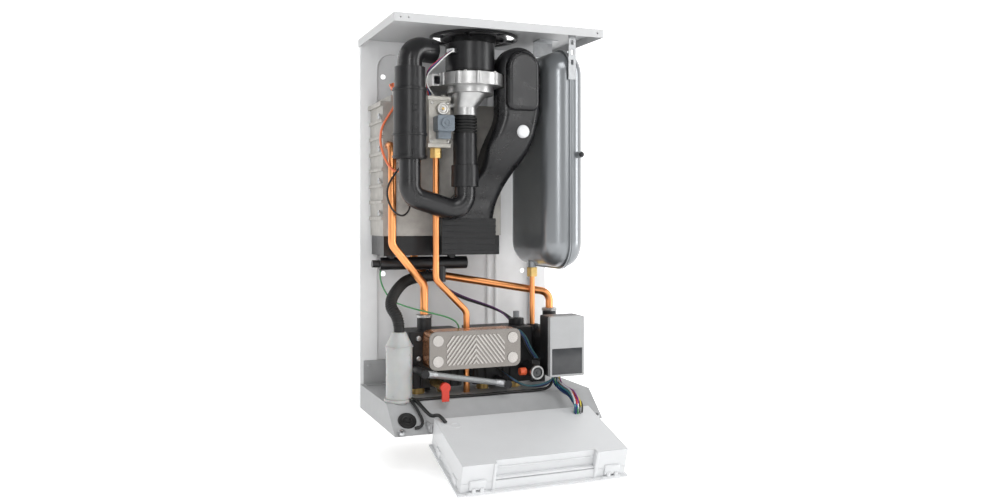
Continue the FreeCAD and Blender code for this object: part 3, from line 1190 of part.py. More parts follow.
def gas_nut():
    head = VALVE_FOOT_Z
    nut = hexagon(GAS_PIPE_X, GAS_PIPE_Y, head - GAS_NUT_HEIGHT, head, NUT_RADIUS)
    return nut.cut(post(GAS_PIPE_X, GAS_PIPE_Y, head - GAS_NUT_HEIGHT - OVERRUN, head + OVERRUN,
                        GAS_PIPE_RADIUS + RUNNING_CLEARANCE))


def gas_pipe():
    points = [
        Vector(GAS_PIPE_X, GAS_PIPE_Y, VALVE_FOOT_Z),
        Vector(GAS_PIPE_X, GAS_PIPE_Y, GAS_KNEE_Z),
        Vector(GAS_TAIL_X, GAS_PIPE_Y, GAS_ELBOW_Z),
        Vector(GAS_TAIL_X, GAS_PIPE_Y, TAIL_FOOT_Z),
    ]
    return swept_tube(points, GAS_PIPE_RADIUS, PIPE_WALL, PIPE_BEND)


def flow_pipe():
    points = [
        Vector(FLOW_PIPE_X, EXCHANGER_FRONT_Y, FLOW_HEAD_Z),
        Vector(FLOW_PIPE_X, FLOW_PIPE_Y, FLOW_HEAD_Z),
        Vector(FLOW_PIPE_X, FLOW_PIPE_Y, FLOW_KNEE_Z),
        Vector(FLOW_FOOT_X, FLOW_PIPE_Y, FLOW_ELBOW_Z),
        Vector(FLOW_FOOT_X, FLOW_PIPE_Y, BOSS_HEAD_Z),
    ]
    return swept_tube(points, WATER_PIPE_RADIUS, PIPE_WALL, PIPE_BEND)


def return_pipe():
    points = [
        Vector(RETURN_HEAD_X, RETURN_HEAD_Y, EXCHANGER_FOOT_Z - TRAY_BAND_HEIGHT),
        Vector(RETURN_HEAD_X, RETURN_HEAD_Y, RETURN_KNEE_Z),
        Vector(RETURN_FOOT_X, RETURN_FOOT_Y, RETURN_ELBOW_Z),
        Vector(RETURN_FOOT_X, RETURN_FOOT_Y, BOSS_HEAD_Z),
    ]
    return swept_tube(points, WATER_PIPE_RADIUS, PIPE_WALL, PIPE_BEND)


def vessel_pipe():
    head = VESSEL_FOOT_Z - VESSEL_NECK - VESSEL_NUT_HEIGHT / 2
    return tube(VESSEL_PORT_X, VESSEL_PORT_Y, BLOCK_HEAD_Z, head, VESSEL_PIPE_RADIUS, PIPE_WALL)


def vessel_blank(x0, x1, grow):
    """The vessel's rounded outline, seen from the side, thickened from x0 to x1."""
    low_y, high_y = VESSEL_FRONT_Y - grow, VESSEL_BACK_Y + grow
    low_z, high_z = VESSEL_FOOT_Z - grow, VESSEL_HEAD_Z + grow
    plate = box(x0, x1, low_y, high_y, low_z, high_z)
    across = [edge for edge in plate.Edges if abs(edge.BoundBox.XLength - abs(x1 - x0)) < CLEARANCE / 2]
    return plate.makeFillet(VESSEL_CORNER + grow, across)


def vessel_shell(side):
    depth, edge_radius = VESSEL_LEFT_DEPTH, VESSEL_LEFT_EDGE
    if side > 0:
        depth, edge_radius = VESSEL_RIGHT_DEPTH, VESSEL_RIGHT_EDGE
    seam = VESSEL_SEAM_X + side * DIAPHRAGM / 2
    outer_x = VESSEL_SEAM_X + side * depth
    body = vessel_blank(seam, outer_x, 0)
    outer_edges = [edge for edge in body.Edges if abs(edge.CenterOfMass.x - outer_x) < CLEARANCE / 2]
    body = body.makeFillet(edge_radius, outer_edges)
    rim = vessel_blank(seam, seam + side * VESSEL_RIM_THICK, VESSEL_RIM)
    hollow_x = outer_x - side * VESSEL_WALL
    hollow = vessel_blank(seam - side * OVERRUN, hollow_x, -VESSEL_WALL)
    hollow_edges = [edge for edge in hollow.Edges if abs(edge.CenterOfMass.x - hollow_x) < CLEARANCE / 2]
    hollow = hollow.makeFillet(edge_radius - VESSEL_WALL, hollow_edges)
    return body.fuse(rim).cut(hollow)


def vessel_diaphragm():
    return vessel_blank(VESSEL_SEAM_X - DIAPHRAGM / 2, VESSEL_SEAM_X + DIAPHRAGM / 2, VESSEL_RIM / 2)


def vessel_left_shell():
    """The water half, with the stub under it that the union nut is screwed to."""
    foot = VESSEL_FOOT_Z - VESSEL_NECK
    neck = post(VESSEL_PORT_X, VESSEL_PORT_Y, foot, VESSEL_FOOT_Z + VESSEL_LEFT_EDGE / 3,
                VESSEL_NECK_RADIUS)
    return fuse_all([vessel_shell(-1), neck])


def vessel_right_shell():
    """The gas half, with its charging valve at the front."""
    valve = bar_y(VESSEL_VALVE_X, VESSEL_VALVE_Z, VESSEL_FRONT_Y - VESSEL_VALVE_LENGTH,
                  VESSEL_FRONT_Y + VESSEL_WALL / 2, VESSEL_VALVE_RADIUS)
    return fuse_all([vessel_shell(1), valve])


def vessel_nut():
    head = VESSEL_FOOT_Z - VESSEL_NECK
    nut = hexagon(VESSEL_PORT_X, VESSEL_PORT_Y, head - VESSEL_NUT_HEIGHT, head, NUT_RADIUS)
    return nut.cut(post(VESSEL_PORT_X, VESSEL_PORT_Y, head - VESSEL_NUT_HEIGHT - OVERRUN, head + OVERRUN,
                        VESSEL_PIPE_RADIUS + RUNNING_CLEARANCE))


def vessel_strap():
    head = CASE_HEIGHT - SHEET
    back = VESSEL_FRONT_Y - VESSEL_RIM
    x0 = VESSEL_SEAM_X - STRAP_WIDTH / 2
    x1 = VESSEL_SEAM_X + STRAP_WIDTH / 2
    strip = box(x0, x1, back - SHEET, back, head - STRAP_DROP, head)
    foot = box(x0, x1, back, back + STRAP_FOOT, head - SHEET, head)
    slots = []
    for share in STRAP_SLOT_SHARES:
        z = head - STRAP_DROP * share
        slots.append(box(VESSEL_SEAM_X - STRAP_SLOT_WIDTH / 2, VESSEL_SEAM_X + STRAP_SLOT_WIDTH / 2,
                         back - OVERRUN, back + OVERRUN, z, z + STRAP_SLOT_HEIGHT))
    return cut_all(fuse_all([strip, foot]), slots)


def vessel_hanger():
    head = CASE_HEIGHT - SHEET
    seat = VESSEL_HEAD_Z + VESSEL_RIM
    x0 = VESSEL_SEAM_X - HANGER_WIDTH / 2
    x1 = VESSEL_SEAM_X + HANGER_WIDTH / 2
    web = box(x0, x1, HANGER_Y - SHEET, HANGER_Y, seat, head)
    foot = box(x0, x1, HANGER_Y - HANGER_FOOT, HANGER_Y, head - SHEET, head)
    return fuse_all([web, foot])


def block_body(x0, x1):
    """A hydraulic block standing on the tray's deck on two short legs."""
    body = box(x0, x1, BLOCK_FRONT_Y, BLOCK_BACK_Y, BLOCK_FOOT_Z, BLOCK_HEAD_Z)
    upright = [edge for edge in body.Edges if edge.BoundBox.ZLength > BLOCK_EDGE + BLOCK_EDGE]
    body = body.makeFillet(BLOCK_EDGE, upright)
    middle = (x0 + x1) / 2
    leg = box(middle - BLOCK_STAND / 2, middle + BLOCK_STAND / 2, BLOCK_BACK_Y - BLOCK_STAND, BLOCK_BACK_Y,
              DECK_Z, BLOCK_FOOT_Z)
    return fuse_all([body, leg])


def boss(x, y, z0, z1, pipe_radius):
    return post(x, y, z0, z1, pipe_radius + BOSS_WALL)


def left_block():
    body = block_body(LEFT_BLOCK_LEFT_X, LEFT_BLOCK_RIGHT_X)
    return fuse_all([body, boss(FLOW_FOOT_X, FLOW_PIPE_Y, BLOCK_FOOT_Z, BOSS_HEAD_Z, WATER_PIPE_RADIUS)])


def right_block():
    return block_body(RIGHT_BLOCK_LEFT_X, RIGHT_BLOCK_RIGHT_X)


def bottom_tails():
    shapes = []
    for _, x, y, radius in tail_places():
        collar = post(x, y, TAIL_COLLAR_Z, BLOCK_FOOT_Z, radius + TAIL_COLLAR)
        pin = post(x, y, TAIL_FOOT_Z, TAIL_COLLAR_Z, radius)
        bore = post(x, y, TAIL_FOOT_Z - OVERRUN, BLOCK_FOOT_Z + OVERRUN, radius - PIPE_WALL)
        shapes.append(fuse_all([collar, pin]).cut(bore))
    return Part.makeCompound(shapes)


def plate_pack():
    """The brazed stack: plates with a lip, stepped so that their edges show."""
    pitch = (PLATE_DEPTH - FRONT_PLATE) / PLATE_COUNT
    pieces = []
    for step in range(PLATE_COUNT):
        y = BLOCK_FRONT_Y - pitch * (step + 1)
        pieces.append(upright_plate(PLATE_LEFT_X, PLATE_RIGHT_X, PLATE_FOOT_Z, PLATE_HEAD_Z,
                                    PLATE_CORNER, y,
                                    pitch * PLATE_EDGE_SHARE))
        pieces.append(upright_plate(PLATE_LEFT_X + PLATE_LIP, PLATE_RIGHT_X - PLATE_LIP,
                                    PLATE_FOOT_Z + PLATE_LIP,
                                    PLATE_HEAD_Z - PLATE_LIP, PLATE_CORNER - PLATE_LIP, y, pitch))
    return pieces


def plate_exchanger():
    return fuse_all(plate_pack() + front_plate())


def front_plate():
    """The front plate's pieces: the plate, its chevron ribs and its four blind ports."""
    front = BLOCK_FRONT_Y - PLATE_DEPTH
    plate = upright_plate(PLATE_LEFT_X, PLATE_RIGHT_X, PLATE_FOOT_Z, PLATE_HEAD_Z, PLATE_CORNER, front,
                          FRONT_PLATE)
    middle_x = (PLATE_LEFT_X + PLATE_RIGHT_X) / 2
    middle_z = (PLATE_FOOT_Z + PLATE_HEAD_Z) / 2
    field = box(PLATE_LEFT_X + PORT_INSET + PORT_INSET, PLATE_RIGHT_X - PORT_INSET - PORT_INSET,
                front - CHEVRON_PROUD, front, PLATE_FOOT_Z + PORT_INSET / 2, PLATE_HEAD_Z - PORT_INSET / 2)
    pieces = [plate]
    reach = PLATE_HEAD_Z - PLATE_FOOT_Z + PLATE_RIGHT_X - PLATE_LEFT_X
    half = CHEVRON_COUNT // 2
    for side in (-1, 1):
        side_field = box(middle_x, middle_x + side * reach, front - CHEVRON_PROUD, front, 0, BOSS_HEAD_Z)
        for step in range(-half, half + 1):
            place = middle_x + side * step * CHEVRON_PITCH
            rib = box(place - CHEVRON_WIDTH / 2, place + CHEVRON_WIDTH / 2, front - CHEVRON_PROUD, front,
                      middle_z - reach / 2, middle_z + reach / 2)
            rib.rotate(Vector(place, front, middle_z), Y_AXIS, -side * (90 - CHEVRON_LEAN))
            trimmed = rib.common(field).common(side_field)
            if trimmed.Solids:
                pieces.append(trimmed)
    for x in (PLATE_LEFT_X + PORT_INSET, PLATE_RIGHT_X - PORT_INSET):
        for z in (PLATE_FOOT_Z + PORT_INSET, PLATE_HEAD_Z - PORT_INSET):
            pieces.append(bar_y(x, z, front - PORT_PROUD, front, PORT_RADIUS))
    return pieces


def pump_middle_x():
    return (PUMP_LEFT_X + PUMP_RIGHT_X) / 2


def pump_volute():
    x = pump_middle_x()
    radius = (PUMP_RIGHT_X - PUMP_LEFT_X) / 2
    drum = bar_y(x, PUMP_AXIS_Z, PUMP_BACK_Y, PUMP_FACE_Y, radius)
    inlet = boss(RETURN_FOOT_X, RETURN_FOOT_Y, PUMP_AXIS_Z, BOSS_HEAD_Z, WATER_PIPE_RADIUS)
    port = boss(VESSEL_PORT_X, VESSEL_PORT_Y, PUMP_AXIS_Z, BLOCK_HEAD_Z, VESSEL_PIPE_RADIUS)
    stand = box(x - BLOCK_STAND, x + BLOCK_STAND, PUMP_BACK_Y - BLOCK_STAND, PUMP_BACK_Y, DECK_Z,
                PUMP_AXIS_Z)
    whole = fuse_all([drum, inlet, port, stand])
    room_back = PUMP_FACE_Y + PUMP_WALL + ROTOR_LENGTH + FAN_GAP + FAN_GAP
    room = bar_y(x, PUMP_AXIS_Z, PUMP_FACE_Y + PUMP_WALL, room_back, radius - PUMP_WALL)
    bearing = bar_y(x, PUMP_AXIS_Z, PUMP_FACE_Y - OVERRUN, PUMP_FACE_Y + PUMP_WALL + SHEET,
                    PUMP_SHAFT_RADIUS + RUNNING_CLEARANCE)
    return cut_all(whole, [room, bearing])


def pump_rotor():
    x = pump_middle_x()
    start = PUMP_FACE_Y + PUMP_WALL + FAN_GAP
    disc = bar_y(x, PUMP_AXIS_Z, start, start + VANE_THICK, ROTOR_RADIUS)
    hub = bar_y(x, PUMP_AXIS_Z, start, start + ROTOR_LENGTH, ROTOR_RADIUS / 3)
    shaft = bar_y(x, PUMP_AXIS_Z, PUMP_FACE_Y + CLEARANCE, start, PUMP_SHAFT_RADIUS)
    pieces = [disc, hub, shaft]
    for step in range(VANE_COUNT):
        vane = box(x, x + ROTOR_RADIUS, start, start + ROTOR_LENGTH / 2, PUMP_AXIS_Z - VANE_THICK / 2,
                   PUMP_AXIS_Z + VANE_THICK / 2)
        vane.rotate(Vector(x, start, PUMP_AXIS_Z), Y_AXIS, 360 * step / VANE_COUNT)
        pieces.append(vane)
    return fuse_all(pieces)


def pump_box():
    block = upright_plate(PUMP_LEFT_X, PUMP_RIGHT_X, PUMP_BOX_FOOT_Z, PUMP_BOX_HEAD_Z, PUMP_BOX_CORNER,
                          PUMP_FRONT_Y, PUMP_FACE_Y - PUMP_FRONT_Y)
    panel = box(PUMP_LEFT_X + PUMP_PANEL_INSET, PUMP_RIGHT_X - PUMP_PANEL_INSET, PUMP_FRONT_Y - OVERRUN,
                PUMP_FRONT_Y + PUMP_PANEL_SINK, PUMP_BOX_FOOT_Z + PUMP_PANEL_INSET,
                PUMP_BOX_FOOT_Z + PUMP_PANEL_INSET + PUMP_PANEL_HEIGHT)
    return block.cut(panel)


def air_vent():
    disc = post(VENT_X, VENT_Y, BLOCK_HEAD_Z, BLOCK_HEAD_Z + VENT_HEIGHT, VENT_RADIUS)
    neck = post(VENT_X, VENT_Y, BLOCK_HEAD_Z + VENT_HEIGHT, BLOCK_HEAD_Z + VENT_NECK, VENT_NECK_RADIUS)
    return fuse_all([disc, neck])


def air_vent_cap():
    foot = BLOCK_HEAD_Z + VENT_HEIGHT + HOLE_GAP
    cap = post(VENT_X, VENT_Y, foot, foot + VENT_CAP_HEIGHT, VENT_CAP_RADIUS)
    room = post(VENT_X, VENT_Y, foot - OVERRUN, BLOCK_HEAD_Z + VENT_NECK + CLEARANCE,
                VENT_NECK_RADIUS + RUNNING_CLEARANCE)
    return cap.cut(room)


def relief_valve():
    body = bar_y(RELIEF_X, RELIEF_Z, RELIEF_FRONT_Y, BLOCK_FRONT_Y, RELIEF_RADIUS)
    sink = bar_y(RELIEF_X, RELIEF_Z, RELIEF_FRONT_Y - OVERRUN, RELIEF_FRONT_Y + SHEET,
                 RELIEF_RADIUS - SHEET - SHEET)
    left = RELIEF_X - RELIEF_RADIUS - RELIEF_STEM
    stem = bar_x(RELIEF_KNOB_Y, RELIEF_Z, left, RELIEF_X, RELIEF_STEM_RADIUS)
    return fuse_all([body.cut(sink), stem])


def relief_knob():
    inner = RELIEF_X - RELIEF_RADIUS - HOLE_GAP
    knob = bar_x(RELIEF_KNOB_Y, RELIEF_Z, inner - RELIEF_KNOB, inner, RELIEF_KNOB_RADIUS)
    stem_end = RELIEF_X - RELIEF_RADIUS - RELIEF_STEM
    room = bar_x(RELIEF_KNOB_Y, RELIEF_Z, stem_end - CLEARANCE, inner + OVERRUN,
                 RELIEF_STEM_RADIUS + RUNNING_CLEARANCE)
    return knob.cut(room)


def fill_valve_body():
    body = bar_y(FILL_X, FILL_Z, FILL_BODY_FRONT_Y, BLOCK_FRONT_Y, FILL_RADIUS)
    pin = bar_y(FILL_X, FILL_Z, FILL_BODY_FRONT_Y - FILL_HUB_THICK / 2, FILL_BODY_FRONT_Y, FILL_PIN_RADIUS)
    return fuse_all([body, pin])


def fill_handle():
    back = FILL_BODY_FRONT_Y - CLEARANCE
    front = back - FILL_HUB_THICK
    hub = bar_y(FILL_X, FILL_Z, front, back, FILL_HUB_RADIUS)
    lever = box(FILL_X - FILL_LEVER_WIDTH / 2, FILL_X + FILL_LEVER_WIDTH / 2, front,
                front + FILL_LEVER_THICK,
                FILL_Z - FILL_LEVER_LENGTH, FILL_Z)
    room = bar_y(FILL_X, FILL_Z, back - FILL_HUB_THICK / 2, back + OVERRUN,
                 FILL_PIN_RADIUS + RUNNING_CLEARANCE)
    return fuse_all([hub, lever]).cut(room)


def hose_fittings():
    """The two stubs that the braided hose runs between, out from the hydraulic blocks."""
    return Part.makeCompound(fitting_stubs(FITTING_RADIUS))


def fitting_stubs(radius):
    front = HOSE_Y - FITTING_RADIUS
    places = ((HOSE_LEFT_X, HOSE_LEFT_Z), (HOSE_RIGHT_X, HOSE_RIGHT_Z))
    return [bar_y(x, z, front, BLOCK_FRONT_Y, radius) for x, z in places]


def hose_line():
    start = Vector(HOSE_LEFT_X, HOSE_Y, HOSE_LEFT_Z)
    end = Vector(HOSE_RIGHT_X, HOSE_Y, HOSE_RIGHT_Z)
    return start, end, (end - start).normalize()


def fill_hose():
    """The braided hose with the ferrules crimped on its two ends, from fitting to fitting."""
    start, end, way = hose_line()
    rod = Part.makeCylinder(HOSE_RADIUS, (end - start).Length, start, way)
    first = Part.makeCylinder(FERRULE_RADIUS, FITTING_RADIUS + FERRULE_LENGTH, start, way)
    last = Part.makeCylinder(FERRULE_RADIUS, FITTING_RADIUS + FERRULE_LENGTH, end, way * -1)
    return cut_all(fuse_all([rod, first, last]), fitting_stubs(FITTING_RADIUS + RUNNING_CLEARANCE))


def trap_body():
    can = post(TRAP_X, TRAP_Y, TRAP_FOOT_Z, TRAP_HEAD_Z, TRAP_RADIUS)
    collar = post(TRAP_X, TRAP_Y, DECK_Z, DECK_Z + TRAP_COLLAR_HEIGHT, TRAP_RADIUS + HOLE_GAP + TRAP_COLLAR)
    spigot = post(TRAP_X, TRAP_Y, TRAP_SPIGOT_FOOT_Z, TRAP_FOOT_Z, TRAP_SPIGOT_RADIUS)
    inside = post(TRAP_X, TRAP_Y, TRAP_FOOT_Z + TRAP_WALL, TRAP_HEAD_Z + OVERRUN, TRAP_RADIUS - TRAP_WALL)
    bore = post(TRAP_X, TRAP_Y, TRAP_SPIGOT_FOOT_Z - OVERRUN, TRAP_HEAD_Z, TRAP_SPIGOT_RADIUS - TRAP_WALL)
    return cut_all(fuse_all([can, collar, spigot]), [inside, bore])


def trap_cap():
    foot = TRAP_HEAD_Z
    seat = Vector(TRAP_X, TRAP_Y, foot + TRAP_COLLAR)
    rim = post(TRAP_X, TRAP_Y, foot, foot + TRAP_COLLAR, TRAP_RADIUS + HOLE_GAP)
    cone = Part.makeCone(TRAP_RADIUS, TRAP_CAP_NECK_RADIUS, TRAP_CAP_HEAD_Z - foot - TRAP_COLLAR, seat,
                         Z_AXIS)
    bore = post(TRAP_X, TRAP_Y, foot - OVERRUN, TRAP_CAP_HEAD_Z + OVERRUN,
                DRAIN_HOSE_RADIUS - DRAIN_HOSE_WALL)
    return fuse_all([rim, cone]).cut(bore)


def condensate_hose():
    points = [Vector(DRAIN_X - DRAIN_PORT_LENGTH, MANIFOLD_Y, drain_port_z())]
    for x, y, z in zip(DRAIN_ROUTE_X, DRAIN_ROUTE_Y, DRAIN_ROUTE_Z):
        points.append(Vector(x, y, z))
    for z in (DRAIN_TURN_Z, TRAP_CAP_HEAD_Z):
        points.append(Vector(TRAP_X, TRAP_Y, z))
    path = route_wire(points, DRAIN_HOSE_BEND)
    outer = ribbed_tube(path, DRAIN_HOSE_RADIUS, DRAIN_HOSE_RIB, DRAIN_HOSE_RIBS, DRAIN_HOSE_RADIUS)
    return outer.cut(swept_rod(points, DRAIN_HOSE_RADIUS - DRAIN_HOSE_WALL, DRAIN_HOSE_BEND))


def hung(shape):
    """Set a shape drawn level about the hinge on the hinge's place, at the hanging angle."""
    turned = shape.copy()
    turned.rotate(Vector(0, 0, 0), X_AXIS, HANG_ANGLE)
    turned.translate(Vector(0, HINGE_Y, HINGE_Z))
    return turned


def box_lugs():
    """Lugs on the box's two ends, each with the pin moulded on that turns in the tray's ear."""
    shapes = []
    for outer, way in hinge_sides():
        inner = outer - way * HINGE_LUG_THICK
        pin_end = outer + way * (HINGE_EAR_GAP + HINGE_EAR_THICK)
        shapes.append(box(outer, inner, -BOX_START - BOX_WALL, 0, -HINGE_LUG_RADIUS, HINGE_LUG_RADIUS))
        shapes.append(bar_x(0, 0, outer, inner, HINGE_LUG_RADIUS))
        shapes.append(bar_x(0, 0, inner, pin_end, HINGE_PIN_RADIUS))
    return shapes


def panel_middle():
    """How far out from the hinge the display and the button sit, on the box's underside."""
    return -(BOX_START + BOX_END) * DISPLAY_SHARE


def control_base():
    outer = box(BOX_LEFT_X, BOX_RIGHT_X, -BOX_END, -BOX_START, BOX_FOOT, BOX_SEAM)
    flange = box(BOX_LEFT_X - BOX_FLANGE, BOX_RIGHT_X + BOX_FLANGE, -BOX_END - BOX_FLANGE, -BOX_START,
                 BOX_FOOT, BOX_FOOT + BOX_FLANGE_THICK)
    inner = box(BOX_LEFT_X + BOX_WALL, BOX_RIGHT_X - BOX_WALL, -BOX_END + BOX_WALL, -BOX_START - BOX_WALL,
                BOX_FOOT + BOX_WALL, BOX_SEAM + OVERRUN)
    whole = fuse_all([outer, flange]).cut(inner)
    posts = []
    for x in (BOX_LEFT_X + BOARD_INSET + BOARD_INSET, BOX_RIGHT_X - BOARD_INSET - BOARD_INSET):
        for y in (-BOX_END + BOARD_INSET + BOARD_INSET, -BOX_START - BOARD_INSET - BOARD_INSET):
            posts.append(post(x, y, BOX_FOOT + BOX_WALL / 2, BOX_SEAM - BOARD_THICK, BOARD_POST_RADIUS))
    whole = fuse_all([whole] + posts)
    middle = panel_middle()
    window = box(-DISPLAY_WIDTH / 2, DISPLAY_WIDTH / 2, middle - DISPLAY_LENGTH / 2,
                 middle + DISPLAY_LENGTH / 2,
                 BOX_FOOT - OVERRUN, BOX_FOOT + BOX_WALL + OVERRUN)
    button_hole = post(BUTTON_X, middle, BOX_FOOT - OVERRUN, BOX_FOOT + BOX_WALL + OVERRUN,
                       BUTTON_STEM_RADIUS + CLEARANCE)
    return cut_all(whole, [window, button_hole])


def control_cover():
    outer = box(BOX_LEFT_X, BOX_RIGHT_X, -BOX_END, -BOX_START, BOX_SEAM, BOX_HEAD)
    step = box(BOX_LEFT_X + BOX_POST_WIDTH, BOX_RIGHT_X - BOX_POST_WIDTH, -BOX_END - OVERRUN,
               -BOX_END + BOX_STEP_DEPTH, BOX_SEAM, BOX_HEAD + OVERRUN)
    inner = box(BOX_LEFT_X + BOX_WALL, BOX_RIGHT_X - BOX_WALL, -BOX_END + BOX_WALL + BOX_STEP_DEPTH,
                -BOX_START - BOX_WALL, BOX_SEAM - OVERRUN, BOX_HEAD - BOX_WALL)
    shell = outer.cut(step).cut(inner)
    return fuse_all([shell] + box_lugs())


def control_board():
    board = box(BOX_LEFT_X + BOARD_INSET, BOX_RIGHT_X - BOARD_INSET,
                -BOX_END + BOARD_INSET + BOX_STEP_DEPTH,
                -BOX_START - BOARD_INSET, BOX_SEAM - BOARD_THICK, BOX_SEAM)
    pieces = [board]
    for share in CHIP_SHARES:
        x = BOX_LEFT_X + (BOX_RIGHT_X - BOX_LEFT_X) * share
        y = -(BOX_START + BOX_END) / 2
        pieces.append(box(x, x + CHIP_SIZE, y, y + CHIP_SIZE, BOX_SEAM, BOX_SEAM + CHIP_HEIGHT))
    return fuse_all(pieces)


def display_window():
    middle = panel_middle()
    return box(-DISPLAY_WIDTH / 2, DISPLAY_WIDTH / 2, middle - DISPLAY_LENGTH / 2,
               middle + DISPLAY_LENGTH / 2,
               BOX_FOOT, BOX_FOOT + BOX_WALL)


def control_button():
    middle = panel_middle()
    cap_head = BOX_FOOT - BUTTON_TRAVEL - CLEARANCE
    cap = post(BUTTON_X, middle, cap_head - BUTTON_PROUD, cap_head, BUTTON_RADIUS)
    stem = post(BUTTON_X, middle, cap_head, BOX_FOOT + BOX_WALL + BUTTON_PROUD, BUTTON_STEM_RADIUS)
    return fuse_all([cap, stem])


def ignition_lead():
    """The lead from the electrode's boot down to the gas valve, with the boot moulded on."""
    boot_z = EXCHANGER_HEAD_Z + DOOR_THICK + ELECTRODE_RISE
    start = Vector(ELECTRODE_X - ELECTRODE_RADIUS - CLEARANCE, ELECTRODE_Y,
                   boot_z + ELECTRODE_BOOT_HEIGHT / 4)
    points = [start]
    for x, y, drop in zip(IGNITION_ROUTE_X, IGNITION_ROUTE_Y, IGNITION_ROUTE_DROP):
        points.append(Vector(x, y, CASE_HEIGHT - drop))
    points.append(Vector(VALVE_LEFT_X, IGNITION_ROUTE_Y[-1], CASE_HEIGHT - IGNITION_ROUTE_DROP[-1]))
    return fuse_all([lead_rod(points, LEAD_RADIUS), electrode_boot()])


def box_harness():
    """The lead from the pump's box over the tray's edge into the top of the control box."""
    points = [Vector(HARNESS_START_X, HARNESS_START_Y, z) for z in (PUMP_BOX_FOOT_Z, HARNESS_DIP_Z)]
    for x, out, z in zip(HARNESS_ROUTE_X, HARNESS_ROUTE_OUT, HARNESS_ROUTE_Z):
        points.append(Vector(x, -CASE_DEPTH - out, z))
    for rise in (HARNESS_END_RISE, 0):
        points.append(hung(Part.Vertex(HARNESS_END_X, -HARNESS_END_REACH, BOX_HEAD + rise)).Point)
    return lead_rod(points, HARNESS_RADIUS)


NODES = {
    "back_panel": back_panel,
    "top_panel": top_panel,
    "base_tray": base_tray,
    "tray_brackets": tray_brackets,
    "flue_adapter": flue_adapter,
    "flue_duct": flue_duct,
    "flue_collector": flue_collector,
    "heat_exchanger": heat_exchanger,
    "burner_door": burner_door,
    "burner": burner,
    "ignition_electrode": electrode,
    "ignition_lead": ignition_lead,
    "condensate_tray": condensate_tray,
    "drain_manifold": drain_manifold,
    "fan_housing": fan_housing,
    "fan_impeller": fan_impeller,
    "fan_motor_cover": fan_motor_cover,
    "fan_venturi": fan_venturi,
    "rubber_sleeve": rubber_sleeve,
    "mixer_tube": mixer_tube,
    "air_hose": air_hose,
    "air_silencer": air_silencer,
    "intake_elbow": intake_elbow,
    "gas_valve_body": gas_valve_body,
    "gas_valve_coil": gas_valve_coil,
    "gas_nut": gas_nut,
    "gas_pipe": gas_pipe,
    "flow_pipe": flow_pipe,
    "return_pipe": return_pipe,
    "vessel_pipe": vessel_pipe,
    "vessel_left_shell": vessel_left_shell,
    "vessel_right_shell": vessel_right_shell,
    "vessel_diaphragm": vessel_diaphragm,
    "vessel_nut": vessel_nut,
    "vessel_strap": vessel_strap,
    "vessel_hanger": vessel_hanger,
    "left_hydraulic_block": left_block,
    "right_hydraulic_block": right_block,
    "bottom_tails": bottom_tails,
    "plate_exchanger": plate_exchanger,
    "pump_volute": pump_volute,
    "pump_rotor": pump_rotor,
    "pump_box": pump_box,
    "air_vent": air_vent,
    "air_vent_cap": air_vent_cap,
    "relief_valve": relief_valve,
    "relief_knob": relief_knob,
    "fill_valve_body": fill_valve_body,
    "fill_handle": fill_handle,
    "fill_hose": fill_hose,
    "hose_fittings": hose_fittings,
    "trap_body": trap_body,
    "trap_cap": trap_cap,
    "condensate_hose": condensate_hose,
    "control_base": control_base,
    "control_cover": control_cover,
    "control_board": control_board,
    "display_window": display_window,
    "control_button": control_button,
    "box_harness": box_harness,
}

HUNG_NODES = ("control_base", "control_cover", "control_board", "display_window", "control_button")


def main():
    os.makedirs("parts", exist_ok=True)
    drop = Vector(0, 0, -WALL_HOLE_MID_Z)
    for name, make in NODES.items():
        shape = make()
        if name in HUNG_NODES:
            shape = hung(shape)
        shape.translate(drop)
        shape.exportStep("parts/" + name + ".step")
        print(name, len(shape.Solids), round(shape.Volume), shape.isValid())


main()
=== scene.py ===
"""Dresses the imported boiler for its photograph: camera, light, materials, leads and hoses, and small trim."""
import bpy
import bmesh
import math
from mathutils import Matrix, Vector


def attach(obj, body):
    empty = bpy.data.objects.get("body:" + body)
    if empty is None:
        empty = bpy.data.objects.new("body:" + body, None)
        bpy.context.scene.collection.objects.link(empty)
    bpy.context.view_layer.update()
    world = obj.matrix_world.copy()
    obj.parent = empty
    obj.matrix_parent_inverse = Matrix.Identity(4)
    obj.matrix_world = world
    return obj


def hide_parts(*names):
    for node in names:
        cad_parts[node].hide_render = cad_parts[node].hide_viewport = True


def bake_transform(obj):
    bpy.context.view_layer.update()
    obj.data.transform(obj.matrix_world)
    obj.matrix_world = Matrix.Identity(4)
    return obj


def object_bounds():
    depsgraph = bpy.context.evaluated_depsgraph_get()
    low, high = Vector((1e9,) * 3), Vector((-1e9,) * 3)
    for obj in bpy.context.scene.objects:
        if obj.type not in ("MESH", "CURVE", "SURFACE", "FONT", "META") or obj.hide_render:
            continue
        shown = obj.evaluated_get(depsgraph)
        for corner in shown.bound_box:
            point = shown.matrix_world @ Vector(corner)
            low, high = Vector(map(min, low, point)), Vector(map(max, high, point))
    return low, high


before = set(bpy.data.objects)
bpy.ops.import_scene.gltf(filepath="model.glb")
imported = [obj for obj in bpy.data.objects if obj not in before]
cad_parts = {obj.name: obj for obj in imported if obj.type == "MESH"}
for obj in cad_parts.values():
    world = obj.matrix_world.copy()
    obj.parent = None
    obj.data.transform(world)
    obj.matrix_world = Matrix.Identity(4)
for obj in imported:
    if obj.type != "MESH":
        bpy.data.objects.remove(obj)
cad_bounds = [list(corner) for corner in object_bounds()]

# The part's drawing, in millimetres, and the frame, in metres

